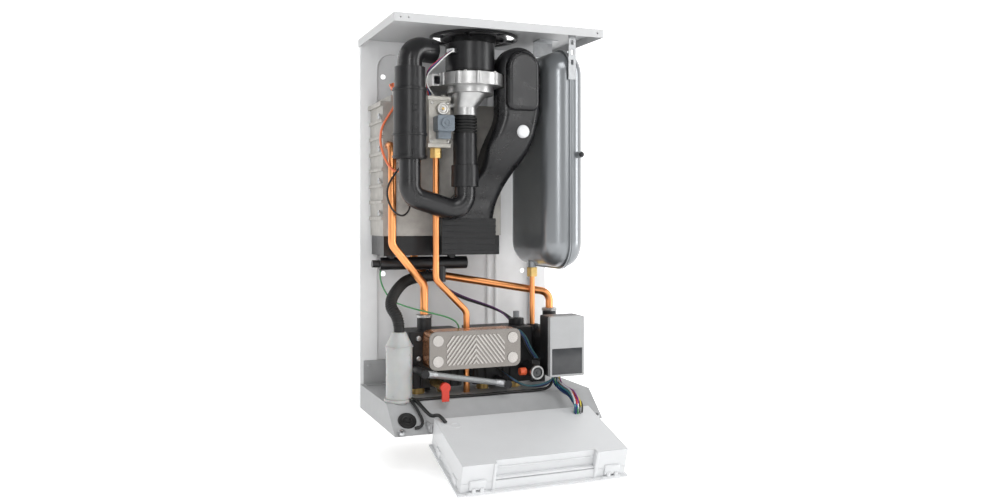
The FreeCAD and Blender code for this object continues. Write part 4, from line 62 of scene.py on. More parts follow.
PER_METRE = 1000                # millimetres in a metre
ORIGIN_Z = 455.0                # the drawing's zero lies this far below the frame's origin
HANG_ANGLE = math.radians(17)   # how far the open control box hangs below level
HINGE_Y = -268.0
HINGE_Z = 12.0
UP = (0, 0, 1)
LEFT = (-1, 0, 0)
FRONT = (0, -1, 0)


def at(x, y, z):
    """A place on the part's drawing, in millimetres, as a point of the frame in metres."""
    return Vector((x, y, z - ORIGIN_Z)) / PER_METRE


def on_box(x, reach, height):
    """A place on the hanging control box: along the hinge, out from it and up from it."""
    y = HINGE_Y - reach * math.cos(HANG_ANGLE) - height * math.sin(HANG_ANGLE)
    z = HINGE_Z - reach * math.sin(HANG_ANGLE) + height * math.cos(HANG_ANGLE)
    return at(x, y, z)


# Camera, light and floor

CAMERA_PLACE = (-606.1, -1748.5, 374.4)     # on the drawing
CAMERA_TURN = math.radians(-22)     # from straight at the wall
CAMERA_LENS = 32.54
CAMERA_SENSOR = 36.0
CAMERA_SHIFT = -0.034
WORLD_STRENGTH = 0.33
# Name, place, target, size and power of each light, in metres and watts
LIGHTS = (
    ("key", (0.3, -2.0, 2.6), (0, -0.1, 0), (2.0, 1.6), 35),
    ("front", (-1.0, -2.5, 0.75), (0, -0.1, 0.05), (0.35, 1.6), 15),
    ("right", (2.1, -1.25, 0.3), (0.14, -0.15, 0.05), (0.6, 2.2), 25),
    ("sheen", (1.0, -2.6, 0.55), (0.05, -0.2, 0.1), (0.35, 0.9), 6),
)
FLOOR_GAP = 0.004           # metres, as all the floor's sizes: it lies this far below the part
FLOOR_DEPTH = 90.0          # in front of the part
FLOOR_WIDTH = 180.0
BEND_START = 4.7            # behind the part
BEND = 3.0                  # the radius in which the floor turns up into the backdrop
BEND_STEPS = 12
BACKDROP_HEIGHT = 30.0
GLOW_NEAR = 1.0             # distances from the part between which the floor's glow rises
GLOW_FAR = 3.5
GLOW_LOW = 0.42
GLOW_HIGH = 0.68


def make_camera():
    camera = bpy.data.objects.new("camera", bpy.data.cameras.new("camera"))
    camera.data.lens = CAMERA_LENS
    camera.data.sensor_width = CAMERA_SENSOR
    camera.data.shift_y = CAMERA_SHIFT
    camera.location = at(*CAMERA_PLACE)
    camera.rotation_euler = (math.radians(90), 0, CAMERA_TURN)
    bpy.context.collection.objects.link(camera)
    bpy.context.scene.camera = camera


def make_light(name, place, target, size, power):
    lamp = bpy.data.lights.new(name, "AREA")
    lamp.shape = "RECTANGLE"
    lamp.size, lamp.size_y = size
    lamp.energy = power
    light = bpy.data.objects.new(name, lamp)
    light.location = place
    light.rotation_euler = (Vector(target) - Vector(place)).to_track_quat("-Z", "Y").to_euler()
    bpy.context.collection.objects.link(light)


def make_studio():
    world = bpy.data.worlds.new("studio")
    world.use_nodes = True
    background = world.node_tree.nodes["Background"]
    background.inputs["Color"].default_value = (1.0, 1.0, 1.0, 1.0)
    background.inputs["Strength"].default_value = WORLD_STRENGTH
    bpy.context.scene.world = world
    bpy.context.scene.view_settings.view_transform = "Standard"
    for light in LIGHTS:
        make_light(*light)


def glow_far(material):
    """Lets the floor glow, near the part less than far from it."""
    nodes, links = material.node_tree.nodes, material.node_tree.links
    place = nodes.new("ShaderNodeTexCoord")
    away = nodes.new("ShaderNodeVectorMath")
    away.operation = "LENGTH"
    links.new(place.outputs["Object"], away.inputs[0])
    strength = nodes.new("ShaderNodeMapRange")
    strength.inputs["From Min"].default_value = GLOW_NEAR
    strength.inputs["From Max"].default_value = GLOW_FAR
    strength.inputs["To Min"].default_value = GLOW_LOW
    strength.inputs["To Max"].default_value = GLOW_HIGH
    links.new(away.outputs["Value"], strength.inputs["Value"])
    links.new(strength.outputs["Result"], nodes["Principled BSDF"].inputs["Emission Strength"])


def make_floor():
    """A pale sweep: floor in front, curving up into a backdrop."""
    low = cad_bounds[0][2] - FLOOR_GAP
    profile = [(-FLOOR_DEPTH, low)]
    for step in range(BEND_STEPS + 1):
        turn = math.radians(90 * step / BEND_STEPS)
        profile.append((BEND_START + BEND * math.sin(turn), low + BEND - BEND * math.cos(turn)))
    profile.append((BEND_START + BEND, low + BACKDROP_HEIGHT))
    mesh = bpy.data.meshes.new("floor")
    points = [(side * FLOOR_WIDTH / 2, y, z) for y, z in profile for side in (-1, 1)]
    faces = [(2 * i, 2 * i + 1, 2 * i + 3, 2 * i + 2) for i in range(len(profile) - 1)]
    mesh.from_pydata(points, [], faces)
    for face in mesh.polygons:
        face.use_smooth = True
    floor = bpy.data.objects.new("floor", mesh)
    paper = surface("floor_paper", (0.95, 0.95, 0.95), 0.8, tint=0.01, bump=0.01, edge=0,
                    Emission_Color=(1, 1, 1, 1))
    glow_far(paper)
    floor.data.materials.append(paper)
    bpy.context.collection.objects.link(floor)


# Materials

DRIFT_DETAIL = 5.0
DRIFT_ENDS = (0.3, 0.7)     # shares of the noise at which the colour reaches its two ends
GRAIN_DETAIL = 3.0
GRAIN_DEPTH = 0.0005
SMOOTHEST = 0.02
SOFT_EDGE = 0.0012          # how far shading rounds off an edge
EDGE_SAMPLES = 4
MIX_FACTOR, MIX_FIRST, MIX_SECOND, MIX_RESULT = 0, 6, 7, 2      # the mix node's sockets for colours


def surface(name, colour, roughness, metallic=0.0, tint=0.08, patch=45.0, spread=0.08, bump=0.08, grain=900.0,
            stretch=(1, 1, 1), edge=SOFT_EDGE, **sockets):
    """A material whose colour and roughness drift in patches, with a fine grain and softened edges."""
    material = bpy.data.materials.new(name)
    material.use_nodes = True
    nodes, links = material.node_tree.nodes, material.node_tree.links
    shader = nodes["Principled BSDF"]
    shader.inputs["Metallic"].default_value = metallic
    for socket, value in sockets.items():
        shader.inputs[socket.replace("_", " ")].default_value = value
    place = nodes.new("ShaderNodeTexCoord")
    stretched = nodes.new("ShaderNodeMapping")
    stretched.inputs["Scale"].default_value = stretch
    links.new(place.outputs["Object"], stretched.inputs["Vector"])
    drift = nodes.new("ShaderNodeTexNoise")
    drift.inputs["Scale"].default_value = patch
    drift.inputs["Detail"].default_value = DRIFT_DETAIL
    links.new(stretched.outputs["Vector"], drift.inputs["Vector"])
    ramp = nodes.new("ShaderNodeValToRGB")
    for element, position, share in zip(ramp.color_ramp.elements, DRIFT_ENDS, (1 - tint, 1 + tint)):
        element.position = position
        element.color = [min(1.0, channel * share) for channel in colour] + [1.0]
    links.new(drift.outputs["Fac"], ramp.inputs["Fac"])
    links.new(ramp.outputs["Color"], shader.inputs["Base Color"])
    rough = nodes.new("ShaderNodeMapRange")
    rough.inputs["To Min"].default_value = max(SMOOTHEST, roughness - spread)
    rough.inputs["To Max"].default_value = min(1.0, roughness + spread)
    links.new(drift.outputs["Fac"], rough.inputs["Value"])
    links.new(rough.outputs["Result"], shader.inputs["Roughness"])
    fine = nodes.new("ShaderNodeTexNoise")
    fine.inputs["Scale"].default_value = grain
    fine.inputs["Detail"].default_value = GRAIN_DETAIL
    links.new(stretched.outputs["Vector"], fine.inputs["Vector"])
    relief = nodes.new("ShaderNodeBump")
    relief.inputs["Strength"].default_value = bump
    relief.inputs["Distance"].default_value = GRAIN_DEPTH
    links.new(fine.outputs["Fac"], relief.inputs["Height"])
    links.new(relief.outputs["Normal"], shader.inputs["Normal"])
    if edge:
        softened = nodes.new("ShaderNodeBevel")
        softened.samples = EDGE_SAMPLES
        softened.inputs["Radius"].default_value = edge
        links.new(softened.outputs["Normal"], relief.inputs["Normal"])
    return material


def paint(name, colour, roughness, tint):
    """Sheet metal's powder paint."""
    return surface(name, colour, roughness, tint=tint, bump=0.05, grain=1600)


def insulation(name, colour, roughness=0.4, tint=0.1, edge=0.0):
    """A wire's coloured plastic."""
    return surface(name, colour, roughness, tint=tint, patch=200, edge=edge)


def recolour_behind(material, depth, colour):
    """Gives what lies behind a depth on the drawing, in millimetres, another colour."""
    nodes, links = material.node_tree.nodes, material.node_tree.links
    shader = nodes["Principled BSDF"]
    place = nodes.new("ShaderNodeTexCoord")
    parts = nodes.new("ShaderNodeSeparateXYZ")
    links.new(place.outputs["Object"], parts.inputs["Vector"])
    behind = nodes.new("ShaderNodeMath")
    behind.operation = "GREATER_THAN"
    behind.inputs[1].default_value = depth / PER_METRE
    links.new(parts.outputs["Y"], behind.inputs[0])
    mixed = nodes.new("ShaderNodeMix")
    mixed.data_type = "RGBA"
    links.new(behind.outputs["Value"], mixed.inputs[MIX_FACTOR])
    links.new(shader.inputs["Base Color"].links[0].from_socket, mixed.inputs[MIX_FIRST])
    mixed.inputs[MIX_SECOND].default_value = (*colour, 1.0)
    links.new(mixed.outputs[MIX_RESULT], shader.inputs["Base Color"])


# Paint
white_paint = paint("white_paint", (0.82, 0.825, 0.83), 0.45, 0.02)
# The top panel has the back panel's white paint, painted darker all over as painted shade.
shaded_top_paint = paint("shaded_top_paint", (0.47, 0.475, 0.48), 0.45, 0.02)
grey_paint = paint("tray_paint", (0.37, 0.375, 0.38), 0.5, 0.05)
vessel_paint = surface("vessel_paint", (0.245, 0.258, 0.27), 0.30, metallic=0.75, tint=0.03, patch=9,
                       spread=0.015, bump=0.02, grain=1800, edge=0, Coat_Weight=0.4, Coat_Roughness=0.14)

# Metal
zinc = surface("zinc_plate", (0.46, 0.47, 0.48), 0.38, metallic=1.0, tint=0.10, patch=120)
cast = surface("cast_aluminium", (0.40, 0.385, 0.36), 0.55, metallic=0.5, tint=0.12, patch=60, bump=0.5,
               grain=1100)
bright_cast = surface("machined_aluminium", (0.45, 0.45, 0.447), 0.36, metallic=0.9, tint=0.08, patch=90,
                      bump=0.15, grain=1300)
valve_cast = surface("valve_casting", (0.44, 0.425, 0.39), 0.44, metallic=0.7, tint=0.12, patch=130, bump=0.4)
bare_steel = surface("bare_steel", (0.55, 0.54, 0.52), 0.3, metallic=1.0, tint=0.08, patch=200)
plate_steel = surface("plate_steel", (0.45, 0.43, 0.41), 0.24, metallic=1.0, tint=0.12, patch=40, bump=0.06,
                      edge=0.0006)
copper = surface("copper_tube", (0.80, 0.335, 0.13), 0.30, metallic=1.0, tint=0.14, patch=26, bump=0.05,
                 stretch=(1, 1, 0.35), edge=0)
brass = surface("turned_brass", (0.70, 0.49, 0.19), 0.30, metallic=1.0, tint=0.10, patch=110)
braid_grey = surface("braid_grey", (0.30, 0.31, 0.315), 0.40, metallic=0.6, tint=0.25, patch=900, bump=0.8,
                     grain=1500, edge=0)

# Black plastic and rubber
black_moulded = surface("black_moulded", (0.008, 0.008, 0.009), 0.34, tint=0.25, patch=70, bump=0.10,
                        grain=1400, Specular_IOR_Level=0.42)
black_satin = surface("black_satin", (0.008, 0.008, 0.009), 0.29, tint=0.2, patch=40, bump=0.04, grain=1800,
                      Specular_IOR_Level=0.5)
black_rubber = surface("black_rubber", (0.008, 0.008, 0.008), 0.5, tint=0.2, patch=90, bump=0.10, grain=1200,
                       Specular_IOR_Level=0.35)
composite = surface("black_composite", (0.009, 0.009, 0.010), 0.46, tint=0.3, patch=160, bump=0.3, grain=1500,
                    Specular_IOR_Level=0.38)

# Coloured plastic
coil_blue = surface("coil_blue", (0.125, 0.15, 0.175), 0.45, tint=0.10, patch=150)
pump_grey = surface("pump_grey", (0.38, 0.385, 0.39), 0.42, tint=0.03, patch=60, bump=0.12, grain=1500)
red_plastic = surface("red_plastic", (0.60, 0.040, 0.020), 0.35, tint=0.08, patch=140)
orange_plastic = surface("orange_plastic", (0.78, 0.12, 0.04), 0.35, tint=0.08, patch=140)
trap_white = surface("trap_white", (0.41, 0.415, 0.41), 0.30, tint=0.04, patch=60, bump=0.05,
                     Subsurface_Weight=0.25, Subsurface_Scale=0.01)
box_white = surface("box_white", (0.64, 0.65, 0.66), 0.36, tint=0.015, patch=30, bump=0.05, grain=1700,
                    edge=0.002)
board_green = surface("board_green", (0.03, 0.16, 0.06), 0.4, tint=0.1, patch=300)
window_smoke = surface("window_smoke", (0.045, 0.047, 0.05), 0.16, tint=0.1, patch=80, bump=0.01, edge=0)
button_grey = surface("button_grey", (0.22, 0.23, 0.24), 0.4, tint=0.06, patch=150)
rotor_grey = surface("rotor_grey", (0.12, 0.12, 0.125), 0.45, tint=0.08, patch=140)

# Insulation
lead_orange = insulation("lead_orange", (0.80, 0.19, 0.08), 0.38, 0.06)
lead_black = insulation("lead_black", (0.010, 0.010, 0.010), 0.42, 0.2)
lead_green = insulation("lead_green", (0.06, 0.26, 0.09))
lead_violet = insulation("lead_violet", (0.10, 0.03, 0.13))
lead_blue = insulation("lead_blue", (0.02, 0.05, 0.16))
lead_teal = insulation("lead_teal", (0.03, 0.11, 0.13))

# The plate exchanger's face between its raised ribs is painted darker as painted shade, which leaves the ribs
# bright, and its pack is copper-brazed.
# The pump box has a grey front and a black back.
recolour_behind(plate_steel, -211.4, (0.23, 0.215, 0.20))
recolour_behind(plate_steel, -208.0, (0.50, 0.25, 0.13))
recolour_behind(pump_grey, -230.0, (0.010, 0.010, 0.011))

NODE_MATERIALS = {
    white_paint: ["back_panel"],
    shaded_top_paint: ["top_panel"],
    grey_paint: ["base_tray", "tray_brackets"],
    zinc: ["vessel_strap", "vessel_hanger"],
    black_moulded: ["flue_adapter", "flue_collector", "condensate_tray", "drain_manifold", "air_silencer",
                    "fan_motor_cover", "mixer_tube"],
    black_satin: ["flue_duct", "air_hose", "intake_elbow"],
    black_rubber: ["vessel_diaphragm", "rubber_sleeve", "condensate_hose", "ignition_lead", "box_harness"],
    cast: ["heat_exchanger", "burner_door"],
    bright_cast: ["fan_housing", "fan_venturi"],
    valve_cast: ["gas_valve_body"],
    bare_steel: ["burner", "ignition_electrode"],
    plate_steel: ["plate_exchanger"],
    copper: ["gas_pipe", "flow_pipe", "return_pipe", "vessel_pipe"],
    brass: ["gas_nut", "vessel_nut", "bottom_tails", "fill_valve_body"],
    vessel_paint: ["vessel_left_shell", "vessel_right_shell"],
    composite: ["left_hydraulic_block", "right_hydraulic_block", "pump_volute", "air_vent", "relief_valve",
                "hose_fittings"],
    coil_blue: ["gas_valve_coil"],
    pump_grey: ["pump_box"],
    red_plastic: ["fill_handle"],
    orange_plastic: ["relief_knob"],
    button_grey: ["control_button", "air_vent_cap"],
    rotor_grey: ["fan_impeller", "pump_rotor"],
    trap_white: ["trap_body", "trap_cap"],
    box_white: ["control_base", "control_cover"],
    board_green: ["control_board"],
    window_smoke: ["display_window"],
    braid_grey: ["fill_hose"],
}


def dress_nodes():
    for material, names in NODE_MATERIALS.items():
        for name in names:
            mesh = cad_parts[name].data
            mesh.materials.clear()
            mesh.materials.append(material)
            smooth(mesh, NODE_SHARP)


# Building blocks

NODE_SHARP = 32     # degrees between two faces, past which their edge is shaded sharp
TRIM_SHARP = 40
HOSE_SHARP = 80
SAME_PLACE = 1e-6   # points closer than this are joined, in metres


def smooth(mesh, sharp):
    """Shades a mesh smooth, apart from its sharp edges."""
    for face in mesh.polygons:
        face.use_smooth = True
    mesh.set_sharp_from_angle(angle=math.radians(sharp))


def finished(name, mesh, material, body, sharp=TRIM_SHARP):
    """Links a mesh as a piece, which rides on the body if one is named."""
    smooth(mesh, sharp)
    mesh.materials.append(material)
    piece = bpy.data.objects.new(name, mesh)
    bpy.context.collection.objects.link(piece)
    if body:
        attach(piece, body)
    return piece


def ring_faces(rings, sides):
    """The faces between neighbouring rings of points."""
    faces = []
    for ring in range(rings - 1):
        first, second = ring * sides, (ring + 1) * sides
        for step in range(sides):
            after = (step + 1) % sides
            faces.append((first + step, first + after, second + after, second + step))
    return faces


def turned(name, rings, seat, axis, material, body="chassis", sides=40):
    """A piece of (radius, distance along the axis) rings, in millimetres, on a seat that is a frame point."""
    place = Matrix.Translation(seat) @ Vector(axis).to_track_quat("Z", "Y").to_matrix().to_4x4()
    points = []
    for radius, along in rings:
        for step in range(sides):
            angle = 2 * math.pi * step / sides
            local = Vector((radius * math.cos(angle), radius * math.sin(angle), along)) / PER_METRE
            points.append(place @ local)
    mesh = bpy.data.meshes.new(name)
    mesh.from_pydata(points, [], ring_faces(len(rings), sides))
    builder = bmesh.new()
    builder.from_mesh(mesh)
    bmesh.ops.remove_doubles(builder, verts=builder.verts, dist=SAME_PLACE)
    bmesh.ops.recalc_face_normals(builder, faces=builder.faces)
    builder.to_mesh(mesh)
    builder.free()
    return finished(name, mesh, material, body)


# Shares of the head's radius
SCREW_RINGS = ((0, 0), (1, 0), (1, 0.4), (0.8, 0.62), (0.45, 0.7), (0.4, 0.4), (0, 0.4))


def screw_head(name, seat, axis, radius, material):
    """A pan head with a shallow round recess."""
    rings = [(across * radius, along * radius) for across, along in SCREW_RINGS]
    return turned(name, rings, seat, axis, material, sides=24)


def chamfered(name, low, high, edge, material, place=at, body="chassis"):
    """A box with rounded edges between two corners in millimetres, which a function takes to the frame."""
    builder = bmesh.new()
    bmesh.ops.create_cube(builder, size=1.0)
    for vert in builder.verts:
        vert.co = Vector(low[i] + (vert.co[i] + 0.5) * (high[i] - low[i]) for i in range(3))
    bmesh.ops.bevel(builder, geom=list(builder.edges), offset=edge, segments=3, affect="EDGES", profile=0.5)
    mesh = bpy.data.meshes.new(name)
    builder.to_mesh(mesh)
    builder.free()
    for vert in mesh.vertices:
        vert.co = place(*vert.co)
    if place is on_box:
        mesh.flip_normals()     # the hinge's three directions are left-handed
    return finished(name, mesh, material, body)


def on_cover(name, low, high, edge):
    """Trim of the control box, with corners along the hinge, out from it and up from it."""
    return chamfered(name, low, high, edge, box_white, on_box, "control_box")


def route_curve(name, points):
    """The smooth line that a lead or hose follows, with the route's points as its control points."""
    curve = bpy.data.curves.new(name, "CURVE")
    curve.dimensions = "3D"
    spline = curve.splines.new("NURBS")
    spline.points.add(len(points) - 1)
    for point, place in zip(spline.points, points):
        point.co = (*place, 1.0)
    spline.order_u = 3
    spline.use_endpoint_u = True
    spline.resolution_u = 12
    return curve


def lead(name, points, radius, material):
    """A round lead along frame points, its radius in millimetres, that rides on the chassis."""
    curve = route_curve(name, points)
    curve.bevel_depth = radius / PER_METRE
    curve.bevel_resolution = 5
    curve.use_fill_caps = True
    curve.materials.append(material)
    piece = bpy.data.objects.new(name, curve)
    bpy.context.collection.objects.link(piece)
    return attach(piece, "chassis")


def route_line(points, spacing):
    """Evenly spaced points along a route's smooth line, and its length, in metres."""
    probe = bpy.data.objects.new("probe", route_curve("probe", points))
    bpy.context.collection.objects.link(probe)
    mesh = bpy.data.meshes.new_from_object(probe.evaluated_get(bpy.context.evaluated_depsgraph_get()))
    corners = [vert.co.copy() for vert in mesh.vertices]
    bpy.data.objects.remove(probe)
    lengths = [0.0]
    for before, after in zip(corners, corners[1:]):
        lengths.append(lengths[-1] + (after - before).length)
    count = max(2, round(lengths[-1] / spacing))
    line, index = [], 0
    for step in range(count + 1):
        goal = lengths[-1] * step / count
        while index < len(corners) - 2 and lengths[index + 1] < goal:
            index += 1
        run = lengths[index + 1] - lengths[index]
        line.append(corners[index].lerp(corners[index + 1], (goal - lengths[index]) / run if run else 0))
    return line, lengths[-1]


def tube_mesh(name, line, radius_at, sides=24):
    """A closed tube along a line, its radius in metres given by the distance along it."""
    points = []
    heading = (line[1] - line[0]).normalized()
    side = heading.orthogonal().normalized()
    gone = 0.0
    for index, place in enumerate(line):
        ahead = line[min(index + 1, len(line) - 1)] - line[max(index - 1, 0)]
        side = (heading.rotation_difference(ahead.normalized()) @ side).normalized()
        heading = ahead.normalized()
        across = heading.cross(side)
        gone += (place - line[index - 1]).length if index else 0
        for step in range(sides):
            angle = 2 * math.pi * step / sides
            points.append(place + (side * math.cos(angle) + across * math.sin(angle)) * radius_at(gone))
    faces = ring_faces(len(line), sides)
    faces.append(tuple(reversed(range(sides))))
    faces.append(tuple(range((len(line) - 1) * sides, len(line) * sides)))
    mesh = bpy.data.meshes.new(name)
    mesh.from_pydata(points, [], faces)
    return mesh


# Ignition lead

LEAD_SPACING = 0.004        # between the points at which a lead's length is measured, in metres
IGNITION_RADIUS = 2.2       # millimetres, as the radius of each wire
IGNITION_ROUTE = (
    (-152.3, -75, 624.5), (-164, -94, 622), (-158, -124, 606), (-160, -128, 578), (-174, -128, 558),
    (-187, -130, 536), (-190, -132, 508), (-183, -140, 478), (-172, -155, 455), (-152, -160, 457),
    (-142, -160, 486), (-136, -158, 514), (-112, -158, 514),
)
BOOT_SEAT = (-148, -75, 621)
BOOT_RINGS = ((0, 7), (3.5, 7), (5.5, 6), (6.5, 3), (6.5, -5), (5.6, -7), (4.4, -7), (4.4, -1))


def make_ignition_lead():
    points = [at(*place) for place in IGNITION_ROUTE]
    piece = lead("ignition_lead_orange", points, IGNITION_RADIUS, lead_orange)
    boot = turned("electrode_boot", BOOT_RINGS, at(*BOOT_SEAT), UP, lead_orange)
    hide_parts("ignition_lead")
    route_line(points, LEAD_SPACING)[1]


# Harness into the control box

HARNESS_ROUTE = ((128, -214, 77), (128, -214, 60), (132, -240, 52), (134, -268, 50), (130, -288, 46))
HARNESS_END = ((128, 30, 36), (128, 30, 20))    # on the control box
HARNESS_SPACING = 0.003
HARNESS_COLOURS = {
    "white": (0.7, 0.7, 0.68), "blue": (0.03, 0.09, 0.3), "black": (0.012, 0.012, 0.012),
    "red": (0.5, 0.03, 0.03), "green": (0.05, 0.24, 0.08), "yellow": (0.6, 0.5, 0.04),
    "teal": (0.04, 0.2, 0.22), "grey": (0.25, 0.25, 0.26), "violet": (0.22, 0.03, 0.2),
    "dark_blue": (0.015, 0.03, 0.12), "jet": (0.012, 0.012, 0.012), "pale": (0.55, 0.56, 0.58),
}
STRAND_RADIUS = 0.0016      # metres
STRAND_SIDES = 10
STRAND_SPREAD = 0.0026      # grows with the root of the strand's number, so that the bundle fills evenly
STRAND_TURN = 2.4           # radians from one strand to the next, close to the golden angle
BUNDLE_TWIST = 1.2          # radians from end to end
BUNDLE_SHAPE = (1.0, 0.3, 0.9)


def strand_line(line, index):
    """The middle line of one strand of the bundle."""
    spread = STRAND_SPREAD * math.sqrt(index)
    wide, deep, high = BUNDLE_SHAPE
    strand = []
    for step, place in enumerate(line):
        swing = STRAND_TURN * index + BUNDLE_TWIST * step / len(line)
        across = Vector((wide * math.cos(swing), deep * math.sin(swing), high * math.sin(swing)))
        strand.append(place + across * spread)
    return strand


def make_box_harness():
    """A bundle of coloured wires, drawn with a bend at the hinge where the control box turns."""
    points = [at(*place) for place in HARNESS_ROUTE] + [on_box(*place) for place in HARNESS_END]
    line = route_line(points, HARNESS_SPACING)[0]
    mesh = bpy.data.meshes.new("harness_wires")
    builder = bmesh.new()
    for index, (colour, value) in enumerate(HARNESS_COLOURS.items()):
        mesh.materials.append(insulation("wire_" + colour, value, edge=SOFT_EDGE))
        before = len(builder.faces)
        strand = tube_mesh("strand", strand_line(line, index), lambda gone: STRAND_RADIUS, STRAND_SIDES)
        builder.from_mesh(strand)
        builder.faces.ensure_lookup_table()
        for face in builder.faces[before:]:
            face.material_index = index
            face.smooth = True
    builder.to_mesh(mesh)
    builder.free()
    piece = bpy.data.objects.new("harness_wires", mesh)
    bpy.context.collection.objects.link(piece)
    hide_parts("box_harness")
    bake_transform(piece)


# Hoses, and the cable into the control box

DRAIN_ROUTE = ((-80, -96, 259), (-122, -96, 259), (-158, -127, 239), (-182, -164, 213), (-170, -190, 192),
               (-170, -190, 168))
DRAIN_SPACING = 0.0009      # metres, as the other sizes of the hoses and the cable
DRAIN_RADIUS = 0.0095       # between the ribs
DRAIN_PLAIN_END = 0.0095
DRAIN_RIB = 0.0012
DRAIN_RIB_PITCH = 0.0042
DRAIN_RIB_BULGE = 0.6       # a power under 1 makes the ribs fuller than a sine
FILL_ROUTE = ((-133, -222, 96), (-80.7, -222, 86.7), (-28.3, -222, 77.3), (24, -222, 68))
FILL_SPACING = 0.002
FILL_RADIUS = 0.0055
FERRULE_RINGS = ((0, 4), (6.0, 4), (6.6, 6), (6.6, 17), (6.0, 18), (6.4, 19), (6.4, 22), (5.6, 23), (0, 23))
BOX_CABLE_ROUTE = ((-150, -203, 49.5), (-147, -214, 51), (-139, -236, 38), (-132, -258, 28))
BOX_CABLE_END = ((-128, 6, 27), (-124, 16, 27), (-118, 24, 20))     # on the control box
BOX_CABLE_SPACING = 0.003
BOX_CABLE_RADIUS = 0.0032
BOX_CABLE_SIDES = 14


def make_drain_hose():
    points = [at(*place) for place in DRAIN_ROUTE]
    line, length = route_line(points, DRAIN_SPACING)

    def radius_at(gone):
        if gone < DRAIN_PLAIN_END or gone > length - DRAIN_PLAIN_END:
            return DRAIN_RADIUS
        wave = max(0.0, math.sin(2 * math.pi * gone / DRAIN_RIB_PITCH))
        return DRAIN_RADIUS + DRAIN_RIB * wave ** DRAIN_RIB_BULGE

    mesh = tube_mesh("drain_hose", line, radius_at)
    piece = finished("drain_hose", mesh, black_rubber, "chassis", HOSE_SHARP)
    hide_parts("condensate_hose")


def make_fill_hose():
    points = [at(*place) for place in FILL_ROUTE]
    line = route_line(points, FILL_SPACING)[0]
    mesh = tube_mesh("braided_hose", line, lambda gone: FILL_RADIUS)
    hose = finished("braided_hose", mesh, braid_grey, "chassis", HOSE_SHARP)
    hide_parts("fill_hose")
    way = (points[-1] - points[0]).normalized()
    turned("left_ferrule", FERRULE_RINGS, points[0], way, zinc)
    turned("right_ferrule", FERRULE_RINGS, points[-1], -way, zinc)


def make_box_cable():
    """The cable that comes off the deck, over the apron and into the control box."""
    points = [at(*place) for place in BOX_CABLE_ROUTE] + [on_box(*place) for place in BOX_CABLE_END]
    line = route_line(points, BOX_CABLE_SPACING)[0]
    mesh = tube_mesh("box_cable", line, lambda gone: BOX_CABLE_RADIUS, BOX_CABLE_SIDES)
    piece = finished("box_cable", mesh, lead_black, None, HOSE_SHARP)
    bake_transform(piece)


# Loose wires

FAN_WIRE_COLOURS = {
    "red": (0.5, 0.03, 0.03), "blue": (0.03, 0.08, 0.3), "black": (0.012, 0.012, 0.012),
    "white": (0.7, 0.7, 0.68),
}
FAN_WIRE_PITCH = 2.1
FAN_WIRE_RADIUS = 1.1
BLOCK_WIRE_COLOURS = {"black": lead_black, "blue": lead_blue, "teal": lead_teal}
BLOCK_WIRE_PITCH = 3.0
BLOCK_WIRE_RADIUS = 1.5
SIDE_WIRE_RADIUS = 1.4
# Name, radius, material and route of each single wire
SINGLE_WIRES = (
    ("green_wire", 1.4, lead_green,
     ((-173, -84, 285), (-182, -84, 262), (-163, -92, 217), (-140, -130, 206), (-108, -162, 198),
      (-70, -170, 188), (-50, -166, 176), (-46, -160, 163))),
    ("pipe_loom", 2.6, lead_black,
     ((-84, -79, 270), (-70, -79, 246), (-19, -80, 216), (30, -86, 200), (67, -97, 186), (84, -110, 170))),
    ("loom_violet", 1.2, lead_violet,
     ((-80, -79, 274), (-64, -82, 246), (-17, -84, 219), (32, -90, 202), (64, -101, 188), (78, -114, 166))),
    ("deck_cable", 2.6, lead_black,
     ((-162, -206, 49.2), (-120, -208, 48.8), (-70, -204, 48.8), (-20, -209, 48.8), (40, -205, 48.8),
      (90, -208, 48.8), (124, -206, 52), (127, -205, 76))),
    ("apron_tail", 2.6, lead_black,
     ((-158, -203, 49.5), (-156, -214, 51), (-151, -226, 41), (-147, -237, 31), (-144, -247, 21),
      (-147, -255, 14), (-154, -258, 11), (-160, -255, 10))),
)
SENSOR_LOOP_ROUTE = ((-152, -176, 476), (-172, -166, 452), (-188, -164, 420), (-178, -164, 386),
                     (-156, -158, 372), (-136, -140, 384), (-128, -116, 396))
SENSOR_LOOP_RADIUS = 1.8


def wire(name, radius, material, route):
    """A loose wire between two pieces of the chassis."""
    points = [at(*place) for place in route]
    piece = lead(name, points, radius, material)
    length = route_line(points, LEAD_SPACING)[1]


def fan_wire_route(shift):
    """From the fan's plug, behind the silencer, to the gas valve."""
    return ((-82 + shift / 2, -216 - shift, 670), (-92, -224 - shift / 2, 662), (-108, -216, 650 - shift),
            (-121, -202, 636 - shift), (-119, -184, 616 - shift), (-108 + 2 * shift, -168, 592))


def block_wire_route(shift):
    """From the front of a hydraulic block, under the plate exchanger, to the harness's upper end."""
    return ((22 + shift, -168, 92 - shift), (40 + shift, -190, 72), (66, -206 - shift, 58),
            (98, -214 - shift, 56 + shift), (120, -212 - shift, 64 + shift), (125, -209 - shift, 77))


def side_wire_route(shift):
    """From the front of a hydraulic block, beside the plate exchanger, down to the relief valve."""
    return ((66 + shift, -167, 158), (72 + shift, -178 - shift, 150), (82 + shift, -184 - shift, 122),
            (94 + shift, -186 - shift, 106))


def make_wires():
    for index, (colour, value) in enumerate(FAN_WIRE_COLOURS.items()):
        name = "fan_wire_" + colour
        wire(name, FAN_WIRE_RADIUS, insulation(name, value), fan_wire_route(index * FAN_WIRE_PITCH))
    for single in SINGLE_WIRES:
        wire(*single)
    for index, (colour, material) in enumerate(BLOCK_WIRE_COLOURS.items()):
        shift = index * BLOCK_WIRE_PITCH
        wire("block_wire_" + colour, BLOCK_WIRE_RADIUS, material, block_wire_route(shift))
        wire("side_wire_" + colour, SIDE_WIRE_RADIUS, material, side_wire_route(shift))
    wire("sensor_loop", SENSOR_LOOP_RADIUS, lead_black, SENSOR_LOOP_ROUTE)


# Ribbed sleeve

